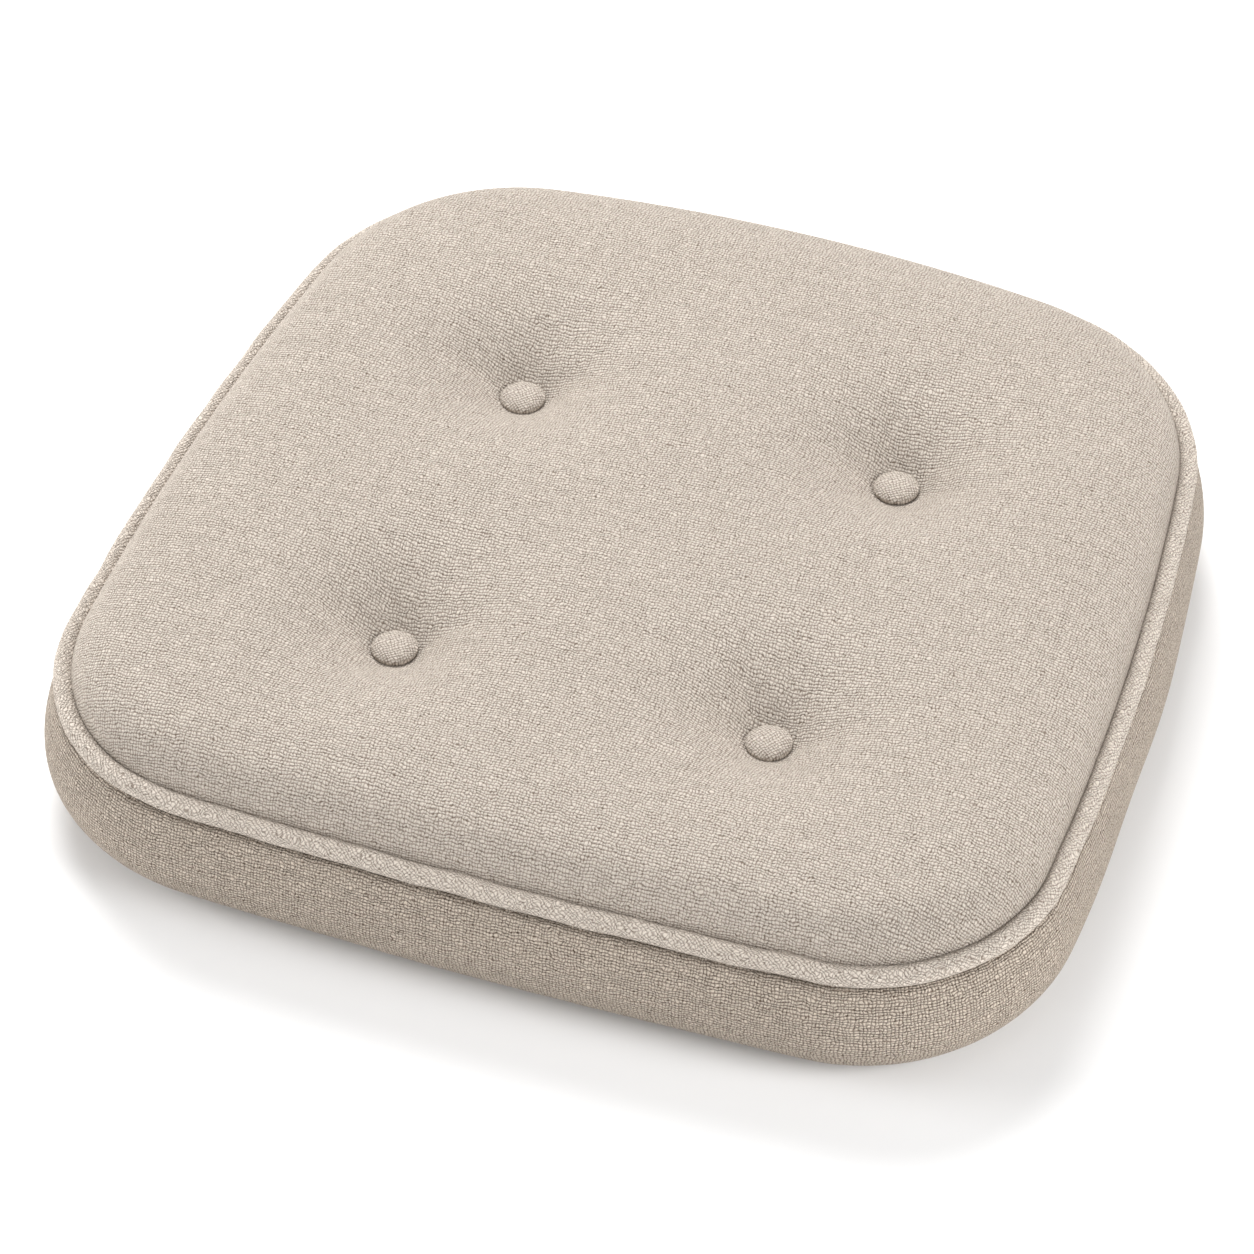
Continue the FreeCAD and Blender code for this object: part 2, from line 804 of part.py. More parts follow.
def button_eye(tuft):
    """The wire eye under the back plate that the twine goes through: a U across X."""
    body = new_body(f"button_eye_{tuft}")
    x, y = TUFTS[tuft]
    bend = cell("eye_bend")
    top = cell("seat_height")
    middle = EYE_LOW + bend
    path = new_sketch(body, "path", "YZ_Plane", x=y, z=x)
    left = path.addGeometry(Part.LineSegment(vector2(-bend, top), vector2(-bend, middle)))
    arc = add_arc(path, (0.0, middle.number), bend.number, 180.0, 360.0)
    right = path.addGeometry(Part.LineSegment(vector2(bend, middle), vector2(bend, top)))
    hold(path, "Vertical", left)
    hold(path, "Vertical", right)
    hold(path, "Tangent", left, 2, arc, 1)
    hold(path, "Tangent", arc, 2, right, 1)
    hold_point(path, left, 1, -bend, top)
    hold_point(path, arc, 3, ZERO, middle)
    hold(path, "DistanceY", -1, 1, right, 2, size=top)
    section = new_sketch(body, "section", "XY_Plane", z=top)
    swept_wire(body, "wire", path, section, x, y - bend, cell("eye_wire"))
    return body


def vector2(x, y):
    return FreeCAD.Vector(as_size(x).number, as_size(y).number, 0)


def tuft_twine(tuft):
    """One closed loop of waxed twine: through the eye, down through the foam, and through the
    two holes of the backing button."""
    body = new_body(f"tuft_twine_{tuft}")
    x, y = TUFTS[tuft]
    spread = cell("strand_spread")
    high = EYE_LOW - cell("strand_hook")
    low = cell("backing_base")
    path = new_sketch(body, "path", "XZ_Plane", x=x, z=-y)
    left = path.addGeometry(Part.LineSegment(vector2(-spread, high), vector2(-spread, low)))
    under = add_arc(path, (0.0, low.number), spread.number, 180.0, 360.0)
    right = path.addGeometry(Part.LineSegment(vector2(spread, low), vector2(spread, high)))
    over = add_arc(path, (0.0, high.number), spread.number, 0.0, 180.0)
    hold(path, "Vertical", left)
    hold(path, "Tangent", left, 2, under, 1)
    hold(path, "Tangent", under, 2, right, 1)
    hold(path, "Tangent", right, 2, over, 1)
    hold(path, "Tangent", over, 2, left, 1)
    hold_point(path, under, 3, ZERO, low)
    hold_point(path, over, 3, ZERO, high)
    hold(path, "Radius", under, size=spread)
    section = new_sketch(body, "section", "XY_Plane", z=high)
    swept_wire(body, "strand", path, section, x - spread, y, cell("strand_radius"))
    return body


def backing_button(tuft):
    """The flat two-hole button in the dimple underneath, which takes the twine's pull."""
    body = new_body(f"backing_button_{tuft}")
    base = cell("backing_base")
    x, y = TUFTS[tuft]
    sketch = new_sketch(body, "outline", "XY_Plane", z=base)
    draw_circle(sketch, x, y, cell("backing_radius"))
    for side in (-1, 1):
        draw_circle(sketch, x + side * cell("strand_spread"), y, cell("strand_radius") + cell("gap"))
    pad = feature(body, "Pad", "disc", sketch)
    bind(pad, "Length", cell("backing_top") - base)
    doc.recompute()
    rim = [
        f"Edge{number}"
        for number, edge in enumerate(pad.Shape.Edges, start=1)
        if len(edge.Vertexes) == 1 and edge.BoundBox.XLength > cell("backing_radius").number
    ]
    round_edges(body, "soft_rim", pad, rim, 0.8)
    return body


def zip_tape(label, sign):
    """One woven tape of the zip, sewn behind its boxing strip: sign 1 is the upper tape."""
    body = new_body(label)
    cover, thickness = cell("tape_cover"), cell("tape_thickness")
    near, far = cell("tape_edge"), cell("tape_width")
    wall = upper_wall if sign > 0 else lower_wall
    whole = cell("shoulder_round") if sign > 0 else cell("bulge_height")
    outer, inner = whole - cover, whole - cover - thickness
    level = cell("bulge_height")
    sketch = back_profile(body, "section")
    side = from_back_centre
    corners = [
        (side(wall(cover, near)), level + sign * near, outer, -sign),
        (side(wall(cover, far)), level + sign * far),
        (side(wall(cover + thickness, far)), level + sign * far, inner, sign),
        (side(wall(cover + thickness, near)), level + sign * near),
    ]
    draw_profile(sketch, corners)
    turn_about(body, "Revolution", "tape", sketch, 2 * cell("tape_angle"))
    return body


def zip_coil(label, sign):
    """One row of the zip's coil, on the face of its tape."""
    body = new_body(label)
    near = cell("bulge_height") + sign * cell("coil_gap")
    far = near + sign * cell("coil_width")
    low = from_back_centre(cell("bulge") + cell("coil_base"))
    high = low + cell("coil_height")
    sketch = back_profile(body, "section")
    draw_profile(sketch, [(low, near), (high, near), (high, far), (low, far)])
    turn_about(body, "Revolution", "coil", sketch, 2 * cell("coil_angle"))
    return body


def back_box(body, name, length, low, high, bottom, top, middle=ZERO):
    """A bar along the zip: length along X, from low to high outside the boxing's face, and
    from bottom to top about the zip's own level."""
    level = cell("bulge_height")
    face = cell("half_depth") + cell("bulge")
    sketch = new_sketch(body, f"{name}_outline", "XY_Plane", z=level + bottom)
    half = 0.5 * length
    left, right = middle - half, middle + half
    draw_profile(sketch, [(left, face + low), (right, face + low), (right, face + high), (left, face + high)])
    pad = feature(body, "Pad", name, sketch)
    bind(pad, "Length", top - bottom)
    doc.recompute()
    return pad


def park(body, angle):
    """Turns a piece made at the middle of the back along the zip by an angle, clockwise."""
    turn = FreeCAD.Rotation(FreeCAD.Vector(0, 0, 1), -angle)
    pivot = FreeCAD.Vector(0, BACK_Y.number, 0)
    body.Placement = FreeCAD.Placement(FreeCAD.Vector(), turn, pivot)


BAIL_BASE = cell("slider_front") + cell("plate")
PULL_AXIS = BAIL_BASE + 0.5 * cell("bail_opening")


def zip_slider():
    """The slider: a plate behind the coil and one in front, joined by a web between the two
    rows, with flanges that hold the rows together and a bail for the pull."""
    body = new_body("zip_slider")
    length, half = cell("slider_length"), cell("slider_half_width")
    front, plate = cell("slider_front"), cell("plate")
    back, web = cell("slider_back"), 0.5 * cell("web")
    flange, lip = cell("flange_width"), cell("flange_base")
    back_box(body, "back_plate", length, back, back + plate, -half, half)
    back_box(body, "web", 0.5 * length, back + plate, front, -web, web)
    back_box(body, "front_plate", length, front, front + plate, -half, half)
    back_box(body, "upper_flange", length, lip, front, half - flange, half)
    back_box(body, "lower_flange", length, lip, front, -half, flange - half)
    wall, width = cell("bail_wall"), 0.5 * cell("bail_width")
    span, opening = cell("bail_length"), cell("bail_opening")
    shift = 0.5 * (span - wall)
    roof = BAIL_BASE + opening
    back_box(body, "bail_left", wall, BAIL_BASE, roof, -width, width, -shift)
    back_box(body, "bail_right", wall, BAIL_BASE, roof, -width, width, shift)
    back_box(body, "bail_top", span, roof, roof + wall, -width, width)
    park(body, SIZES["parked_angle"])
    return body


def zip_pull():
    """The pull tab: a round bar through the bail, two arms past it, and a flat grip."""
    body = new_body("zip_pull")
    radius = cell("pull_bar_radius")
    half, window = 0.5 * cell("pull_width"), 0.5 * cell("pull_window")
    low, high = PULL_AXIS - radius, PULL_AXIS + radius
    reach = 0.5 * cell("bail_length") + 1.6
    arm = reach + radius
    middle = -0.5 * reach
    face = cell("half_depth") + cell("bulge")
    back_box(body, "upper_arm", reach, low, high, window, half, middle)
    back_box(body, "lower_arm", reach, low, high, -half, -window, middle)
    grip = cell("pull_length") - reach
    back_box(body, "grip", grip, low, high, -half, half, -reach - 0.5 * grip)
    sketch = new_sketch(body, "bar_outline", "XY_Plane", z=cell("bulge_height") - half)
    draw_circle(sketch, ZERO, face + PULL_AXIS, radius)
    bar = feature(body, "Pad", "bar", sketch)
    bind(bar, "Length", 2 * half)
    doc.recompute()
    tip = -(cell("pull_length").number)
    corners = [
        f"Edge{number}"
        for number, edge in enumerate(bar.Shape.Edges, start=1)
        if abs(edge.BoundBox.XMin - tip) < 1e-4
        and abs(edge.BoundBox.XMax - tip) < 1e-4
        and edge.BoundBox.YLength > 0.5 * radius.number
    ]
    round_edges(body, "grip_end", bar, corners, 2.4)
    park(body, SIZES["parked_angle"])
    return body


def zip_stop(label, angle, spans):
    """Metal stops pressed on the rows: one on each at the closed end, one across the other."""
    body = new_body(label)
    body.AllowCompound = len(spans) > 1
    base = cell("coil_base") + cell("coil_height") + cell("gap")
    for name, (bottom, top) in spans.items():
        back_box(body, name, cell("stop_length"), base, base + 1.0, bottom, top)
    park(body, angle)
    return body


def build_all():
    foam_core()
    top_wadding()
    side_wadding()
    bottom_wadding()
    top_panel()
    bottom_panel()
    front_boxing()
    level, gap = cell("bulge_height"), cell("zip_gap")
    rear_boxing("rear_boxing_upper", low=level + gap)
    rear_boxing("rear_boxing_lower", high=level - gap)
    welt_cord()
    welt_cover()
    for tuft in TUFTS:
        button_cover(tuft)
        button_shell(tuft)
        button_back(tuft)
        button_eye(tuft)
        tuft_twine(tuft)
        backing_button(tuft)
    zip_tape("zip_tape_upper", 1)
    zip_tape("zip_tape_lower", -1)
    zip_coil("zip_coil_upper", 1)
    zip_coil("zip_coil_lower", -1)
    zip_slider()
    zip_pull()
    near, width = cell("coil_gap"), cell("stop_width")
    pair = {"upper": (near, width), "lower": (-width, -near)}
    zip_stop("zip_top_stops", SIZES["stop_angle"], pair)
    zip_stop("zip_bottom_stop", -SIZES["stop_angle"], {"across": (-width, width)})


def check_and_write():
    doc.recompute()
    for item in doc.Objects:
        if "Invalid" in item.State or "Error" in item.State:
            raise RuntimeError(f"{item.Label}: {item.State}")
    os.makedirs("parts", exist_ok=True)
    for body in doc.findObjects("PartDesign::Body"):
        shape = body.Shape
        if shape.isNull() or not shape.isValid() or shape.Volume <= 0:
            raise RuntimeError(f"{body.Label} has no valid shape")
        print(body.Label, len(shape.Solids), "solids", round(shape.Volume, 1), "mm3")
        shape.exportStep(f"parts/{body.Label}.step")


build_all()
check_and_write()
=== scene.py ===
import math

import bpy
import numpy as np
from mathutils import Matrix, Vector


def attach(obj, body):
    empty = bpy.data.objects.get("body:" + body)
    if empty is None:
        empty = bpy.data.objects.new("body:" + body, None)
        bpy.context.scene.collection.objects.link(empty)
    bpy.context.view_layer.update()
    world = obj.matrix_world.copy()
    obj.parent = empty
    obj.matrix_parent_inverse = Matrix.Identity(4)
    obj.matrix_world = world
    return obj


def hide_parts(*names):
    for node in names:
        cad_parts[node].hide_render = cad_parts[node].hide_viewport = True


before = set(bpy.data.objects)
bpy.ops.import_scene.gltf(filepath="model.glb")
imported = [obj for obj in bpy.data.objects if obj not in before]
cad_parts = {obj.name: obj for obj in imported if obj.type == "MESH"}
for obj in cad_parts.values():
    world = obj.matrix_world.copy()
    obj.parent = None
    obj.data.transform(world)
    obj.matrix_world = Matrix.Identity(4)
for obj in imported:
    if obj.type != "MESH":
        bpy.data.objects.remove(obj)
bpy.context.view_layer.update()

# ---------------------------------------------------------------- sizes, in metres
# as in the CAD, but for the funnels, which are wider here
HALF_WIDTH, HALF_DEPTH, WIDEST_Y = 0.2070, 0.2008, -0.0762
FRONT_R, SIDE_R, BACK_R = 2.655, 1.347, 0.755
FRONT_CORNER_R, BACK_CORNER_R = 0.0797, 0.0977
CLOTH = 0.001
WELT_Z, WELT_R = 0.0569, 0.00435
BULGE, ZIP_Z, SHOULDER_R = 0.00925, 0.0254, 0.0580
SEAT_Z, SEAT_R = 0.0600, 0.0100
FUNNEL_MOUTH, FUNNEL_DROP, BUTTON_R = 0.064, 0.0215, 0.0095
DIMPLE_MOUTH, DIMPLE_R, DIMPLE_DEPTH = 0.028, 0.0331, 0.005
DIMPLE_FULL = DIMPLE_R - math.sqrt(DIMPLE_R**2 - (DIMPLE_MOUTH - BUTTON_R) ** 2)
TUFTS = {
    "front_left": (-0.0793, -0.0925),
    "front_right": (0.0793, -0.0925),
    "back_left": (-0.0824, 0.0642),
    "back_right": (0.0824, 0.0642),
}
# the zip: distances outside the seam line, and thicknesses
ZIP_HALF_GAP = 0.0046
TAPE_FACE, TAPE_FLAT, TAPE_UNDER, TAPE_THICK = 0.00805, 0.0052, 0.0011, 0.00053
COIL_PITCH, COIL_MIDDLE, COIL_WIRE = 0.0013, 0.00895, 0.00034
STITCH, STITCH_PITCH, THREAD_R = 0.0025, 0.0032, 0.00026
BOXING_ANGLE = math.radians(8.35)
TAPE_ANGLE = math.radians(8.43)
COIL_ANGLE = math.radians(8.1)
BACK_CENTRE_Y = HALF_DEPTH - BACK_R

# the panel's edge, as far as it rolls down into the seam, and the rise of the dome inside it
EDGE_START, EDGE_RUN, EDGE_RISE = 0.00305, 0.0256, 0.0237
CROWN = 0.0012
# the boxing's outer face where it turns in under the welt: distances outside the seam line, and heights
SHOULDER_TOP = 0.0495
TURN_IN_N = [0.0037, 0.0030, 0.0018, 0.0004, -0.0012, -0.0032, -0.0057]
TURN_IN_Z = [0.0508, 0.0514, 0.0515, 0.0514, 0.0515, 0.0526, 0.0563]
# the filling: the foam's edge and foot, how far in its side lies, and the strands of the cord
FOAM_INSET, FOAM_RISE, FOAM_RUN = 0.0141, 0.0143, 0.0150
FOAM_FOOT, FOAM_FOOT_R, FOAM_SEAT = 0.0052, 0.012, 0.0495
RING_INSIDE, RING_CLEAR = -0.0139, 0.0024
STRAND_R, STRAND_LAY = 0.0015, 0.016
# the spacing of the cover's points
STEP, WELT_STEP, BOXING_ROW = 0.0034, 0.0024, 0.0027
SIM_FRAMES = 20


# ---------------------------------------------------------------- the outline of the pad
def inner_centre(one, r_one, two, r_two, r):
    """Centre of the circle of radius r that touches two bigger ones from inside, on the right."""
    d_one, d_two = r_one - r, r_two - r
    gap = two - one
    length = np.hypot(*gap)
    along = (d_one**2 - d_two**2 + length**2) / (2 * length)
    across = math.sqrt(d_one**2 - along**2)
    foot = one + gap * along / length
    side = np.array([-gap[1], gap[0]]) / length * across
    return max((foot + side, foot - side), key=lambda p: p[0])


def heading(a, b):
    return math.atan2(b[1] - a[1], b[0] - a[0])


def outline_arcs():
    """The arcs of the right half, from the middle of the front to the middle of the back."""
    front = np.array([0.0, FRONT_R - HALF_DEPTH])
    back = np.array([0.0, BACK_CENTRE_Y])
    side = np.array([HALF_WIDTH - SIDE_R, WIDEST_Y])
    low = inner_centre(front, FRONT_R, side, SIDE_R, FRONT_CORNER_R)
    high = inner_centre(back, BACK_R, side, SIDE_R, BACK_CORNER_R)
    a, b = heading(front, low), heading(side, low)
    c, d = heading(side, high), heading(back, high)
    return [
        (front, FRONT_R, -math.pi / 2, a),
        (low, FRONT_CORNER_R, a, b),
        (side, SIDE_R, b, c),
        (high, BACK_CORNER_R, c, d),
        (back, BACK_R, d, math.pi / 2),
    ]


HALF_ARCS = outline_arcs()
LENGTHS = np.array([r * (b - a) for _, r, a, b in HALF_ARCS])
STARTS = np.concatenate([[0], np.cumsum(LENGTHS)])
HALF = STARTS[-1]
ROUND = 2 * HALF
CORNERS = [
    STARTS[1] + LENGTHS[1] / 2,
    STARTS[3] + LENGTHS[3] / 2,
    ROUND - STARTS[3] - LENGTHS[3] / 2,
    ROUND - STARTS[1] - LENGTHS[1] / 2,
]


def frames(s):
    """Arc centre, radius and heading for each distance s round the seam line from the front's middle."""
    s = np.mod(np.asarray(s, float), ROUND)
    mirrored = s > HALF
    t = np.where(mirrored, ROUND - s, s)
    k = np.clip(np.searchsorted(STARTS, t, side="right") - 1, 0, len(HALF_ARCS) - 1)
    centre = np.array([c for c, _, _, _ in HALF_ARCS])[k]
    radius = np.array([r for _, r, _, _ in HALF_ARCS])[k]
    angle = np.array([a for _, _, a, _ in HALF_ARCS])[k] + (t - STARTS[k]) / radius
    centre = centre * np.where(mirrored, -1, 1)[:, None] ** np.array([[1, 0]])
    return centre, radius, np.where(mirrored, math.pi - angle, angle)


def at(s, n):
    """Points n outside the seam line at the distances s, and the outward headings there."""
    centre, radius, angle = frames(s)
    out = np.stack([np.cos(angle), np.sin(angle)], 1)
    return centre + out * (radius + n)[:, None], out


def inward(xy):
    """How far each point lies inside the seam line, and the outward heading of the edge nearest it."""
    p = np.abs(xy * [1, 0]) + xy * [0, 1]
    best = np.full(len(p), 9.0)
    out = np.zeros_like(p)
    for centre, radius, a, b in HALF_ARCS:
        v = p - centre
        length = np.hypot(v[:, 0], v[:, 1])
        angle = np.arctan2(v[:, 1], v[:, 0])
        depth = np.where((angle >= a - 1e-6) & (angle <= b + 1e-6), radius - length, 9.0)
        near = depth < best
        best[near] = depth[near]
        out[near] = (v / length[:, None])[near]
    out[:, 0] *= np.where(xy[:, 0] < 0, -1, 1)
    return best, out


# ---------------------------------------------------------------- numbers that vary smoothly
def waves(x, period, low, high, seed, count=9):
    """A periodic line that wavers between wavelengths low and high, about -1 to 1."""
    rng = np.random.default_rng(seed)
    turns = rng.integers(max(1, int(period / high)), int(period / low) + 1, count)
    phase = rng.uniform(0, 2 * math.pi, count)
    total = sum(np.cos(2 * math.pi * k * x / period + f) for k, f in zip(turns, phase))
    return total / math.sqrt(2 * count)


def rumple(x, y, low, high, seed, count=14):
    """An uneven surface with wavelengths from low to high, about -1 to 1."""
    rng = np.random.default_rng(seed)
    total = np.zeros_like(x)
    for _ in range(count):
        k = 2 * math.pi / rng.uniform(low, high)
        a, f = rng.uniform(0, math.pi), rng.uniform(0, 2 * math.pi)
        total += np.cos(k * (x * math.cos(a) + y * math.sin(a)) + f)
    return total / math.sqrt(2 * count)


def smooth(x, a, b):
    t = np.clip((x - a) / (b - a), 0, 1)
    return t * t * (3 - 2 * t)


# ---------------------------------------------------------------- meshes
def lattice(rows, cols, close_rows=False, close_cols=False):
    """Quads over a grid of points numbered row by row."""
    i = np.arange(rows if close_rows else rows - 1)
    j = np.arange(cols if close_cols else cols - 1)
    i, j = (g.ravel() for g in np.meshgrid(i, j, indexing="ij"))
    i2, j2 = (i + 1) % rows, (j + 1) % cols
    return np.stack([i * cols + j, i * cols + j2, i2 * cols + j2, i2 * cols + j], 1)


def add_piece(name, points, faces, material, uv=None, body="pad", flip=False):
    """A smooth mesh that rides on a body. uv gives each point its place in the flat cloth, in metres."""
    faces = [tuple(int(k) for k in f) for f in faces]
    if flip:
        faces = [f[::-1] for f in faces]
    mesh = bpy.data.meshes.new(name)
    mesh.from_pydata([tuple(map(float, p)) for p in points], [], faces)
    if uv is not None:
        layer = mesh.uv_layers.new(name="cloth")
        corner = np.empty(len(mesh.loops), int)
        mesh.loops.foreach_get("vertex_index", corner)
        layer.data.foreach_set("uv", np.asarray(uv, float)[corner].ravel())
    mesh.polygons.foreach_set("use_smooth", [True] * len(mesh.polygons))
    mesh.materials.append(material)
    mesh.update()
    obj = bpy.data.objects.new(name, mesh)
    bpy.context.scene.collection.objects.link(obj)
    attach(obj, body)
    return obj


def thicken(obj):
    """Gives a sheet the thickness of the cloth, inward."""
    change = obj.modifiers.new("thickness", "SOLIDIFY")
    change.thickness = CLOTH
    change.offset = -1.0
    change.use_even_offset = True


def subdivide(obj):
    change = obj.modifiers.new("smoother", "SUBSURF")
    change.levels = change.render_levels = 1


def two_layers(faces, count, ring):
    """Faces of a closed piece: its upper ones, the same ones count points on below, and a rim round them."""
    upper = [tuple(int(k) for k in f) for f in faces]
    lower = [tuple(k + count for k in f[::-1]) for f in upper]
    rim = [(j, j + count, (j + 1) % ring + count, (j + 1) % ring) for j in range(ring)]
    return upper + lower + rim


def revolve(profile, count):
    """Points and faces of a shape turned about Z, from a profile of (radius, height) ending on the axis."""
    profile = np.asarray(profile, float)
    angle = np.arange(count) * 2 * math.pi / count
    rings = profile[1:-1]
    points = np.stack(
        [
            rings[:, None, 0] * np.cos(angle),
            rings[:, None, 0] * np.sin(angle),
            np.broadcast_to(rings[:, None, 1], (len(rings), count)),
        ],
        2,
    ).reshape(-1, 3)
    faces = [tuple(f) for f in lattice(len(rings), count, close_cols=True)]
    top, bottom = len(points), len(points) + 1
    last = (len(rings) - 1) * count
    for j in range(count):
        k = (j + 1) % count
        faces.append((top, k, j))
        faces.append((bottom, last + j, last + k))
    points = np.concatenate([points, [[0, 0, profile[0][1]], [0, 0, profile[-1][1]]]])
    return points, faces


# ---------------------------------------------------------------- materials
class Graph:
    """A material whose nodes are added by short calls; each returns an output socket."""

    def __init__(self, name, **constants):
        self.material = bpy.data.materials.new(name)
        self.material.use_nodes = True
        self.tree = self.material.node_tree
        self.tree.nodes.clear()
        self.shader = self.tree.nodes.new("ShaderNodeBsdfPrincipled")
        end = self.tree.nodes.new("ShaderNodeOutputMaterial")
        self.tree.links.new(self.shader.outputs["BSDF"], end.inputs["Surface"])
        for key, value in constants.items():
            self.shader.inputs[key.replace("_", " ")].default_value = value

    def put(self, socket, value):
        if isinstance(value, bpy.types.NodeSocket):
            self.tree.links.new(value, socket)
        elif value is not None:
            socket.default_value = value

    def add(self, kind, inputs=(), out=0, **settings):
        node = self.tree.nodes.new("ShaderNode" + kind)
        for key, value in settings.items():
            setattr(node, key, value)
        for key, value in dict(inputs).items():
            self.put(node.inputs[key], value)
        return node.outputs[out]

    def math(self, operation, *values):
        node = self.tree.nodes.new("ShaderNodeMath")
        node.operation = operation
        for socket, value in zip(node.inputs, values):
            self.put(socket, value)
        return node.outputs[0]

    def mix(self, factor, one, two):
        """Two colours mixed; the node keeps the factor between 0 and 1."""
        node = self.tree.nodes.new("ShaderNodeMix")
        node.data_type = "RGBA"
        self.put(node.inputs[0], factor)
        self.put(node.inputs[6], one)
        self.put(node.inputs[7], two)
        return node.outputs[2]

    def blend(self, factor, one, two):
        """Two values mixed."""
        node = self.tree.nodes.new("ShaderNodeMix")
        self.put(node.inputs[0], factor)
        self.put(node.inputs[2], one)
        self.put(node.inputs[3], two)
        return node.outputs[0]

    def ramp(self, value, low, high, start=0.0, end=1.0):
        return self.add(
            "MapRange",
            {"Value": value, "From Min": low, "From Max": high, "To Min": start, "To Max": end},
        )

    def noise(self, place, scale, detail=3.0, rough=0.5):
        return self.add(
            "TexNoise", {"Vector": place, "Scale": scale, "Detail": detail, "Roughness": rough}
        )

    def here(self):
        return self.add("NewGeometry")

    def bump(self, height, distance, strength=1.0, under=None):
        inputs = {"Height": height, "Distance": distance, "Strength": strength, "Normal": under}
        return self.add("Bump", inputs)

    def finish(self, colour=None, roughness=None, normal=None):
        for name, value in (("Base Color", colour), ("Roughness", roughness), ("Normal", normal)):
            self.put(self.shader.inputs[name], value)
        return self.material


def rgb(r, g, b):
    return (r, g, b, 1.0)


def weave(name, dark, light, relief, pitch=0.00138, turn=0.0, wander=1.0, gap=0.10):
    """Plain weave of round, uneven yarn over the cloth coordinates, each crossing a small nub.

    relief is the depth of its bump, pitch the spacing of the yarns, turn their angle on the cloth, wander how
    far they stray, and gap the tone between them, where 1 is the tone of the yarn's top. The colour follows
    the yarn's height, so the dark between the yarns is painted shade of the hollows as well as the weave's
    own pattern.
    """
    g = Graph(
        name,
        Sheen_Weight=0.15,
        Sheen_Roughness=0.5,
        Sheen_Tint=(1.0, 0.90, 0.78, 1.0),
        Specular_IOR_Level=0.2,
    )
    flat = g.add("UVMap", uv_map="cloth")
    place = flat
    reach = 0.0012 * (wander * pitch / 0.00145)
    for size in (90.0, 330.0):
        colour = g.add("TexNoise", {"Vector": flat, "Scale": size, "Detail": 1.5}, out=1)
        shift = g.add(
            "VectorMath",
            {0: colour, 1: (2 * reach, 2 * reach, 0), 2: (-reach, -reach, 0)},
            operation="MULTIPLY_ADD",
        )
        place = g.add("VectorMath", {0: place, 1: shift}, operation="ADD")
    ridge = g.noise(place, 820.0, 1.0, 0.5)
    ridge = g.math("ABSOLUTE", g.math("SUBTRACT", ridge, 0.5))
    ridge = g.ramp(ridge, 0.0, 0.20, 1.0, 0.0)
    place = g.add("Mapping", {"Vector": place, "Rotation": (0, 0, turn), "Scale": (1 / pitch,) * 3})
    parts = g.tree.nodes.new("ShaderNodeSeparateXYZ")
    g.put(parts.inputs[0], place)
    whole = [g.math("FLOOR", parts.outputs[k]) for k in (0, 1)]
    turns = [g.math("MULTIPLY", g.math("FRACT", parts.outputs[k]), math.pi) for k in (0, 1)]
    wave = [g.math("MAXIMUM", g.math("SINE", t), 0.0001) for t in turns]
    odd = g.math("ABSOLUTE", g.math("MODULO", g.math("ADD", *whole), 2.0))
    nubs = [
        g.math("MULTIPLY", g.math("POWER", wave[1], 1.1), g.math("POWER", wave[0], 0.45)),
        g.math("MULTIPLY", g.math("POWER", wave[1], 0.9), g.math("POWER", wave[0], 0.9)),
    ]
    nub = g.blend(odd, *nubs)
    number = g.add("CombineXYZ", {"X": whole[0], "Y": whole[1]})
    crossing = g.add("TexWhiteNoise", {"Vector": number})
    uneven = g.noise(flat, 420.0, 2.0, 0.6)
    fibre = g.noise(flat, 3200.0, 2.0, 0.7)
    broad = g.noise(flat, 14.0, 3.0, 0.55)
    height = g.math("MULTIPLY", nub, g.math("MULTIPLY_ADD", crossing, 0.16, 0.84))
    height = g.math("MULTIPLY_ADD", ridge, 0.36, height)
    # the tone follows the yarn's height: painted shade in the hollows between the yarns, on top of the
    # weave's own pattern
    tone = g.ramp(height, 0.08, 0.92, gap, 1.0)
    height = g.math("MULTIPLY_ADD", g.math("SUBTRACT", fibre, 0.5), 0.35, height)
    for part, share in ((crossing, 0.08), (uneven, 0.04), (fibre, 0.24), (broad, 0.06)):
        tone = g.math("MULTIPLY_ADD", g.math("SUBTRACT", part, 0.5), share, tone)
    colour = g.mix(tone, dark, light)
    rough = g.math("ADD", g.ramp(nub, 0.0, 1.0, 0.98, 0.82), g.ramp(broad, 0.3, 0.7, -0.04, 0.04))
    low = g.bump(uneven, 0.0002, 0.6)
    return g.finish(colour, rough, g.bump(height, relief, 1.0, low))


def plain(name, dark, light, scale, rough, relief, stretch=(1, 1, 1), **constants):
    """A material mottled by noise in space, for moulded, cast and felted pieces."""
    g = Graph(name, **constants)
    place = g.add("Mapping", {"Vector": g.here(), "Scale": stretch})
    fine = g.noise(place, scale, 4.0, 0.6)
    broad = g.noise(place, scale / 14, 3.0, 0.5)
    both = g.math("ADD", g.math("MULTIPLY", fine, 0.6), g.math("MULTIPLY", broad, 0.4))
    colour = g.mix(g.ramp(both, 0.3, 0.7), dark, light)
    return g.finish(colour, g.ramp(both, 0.3, 0.7, *rough), g.bump(fine, relief))
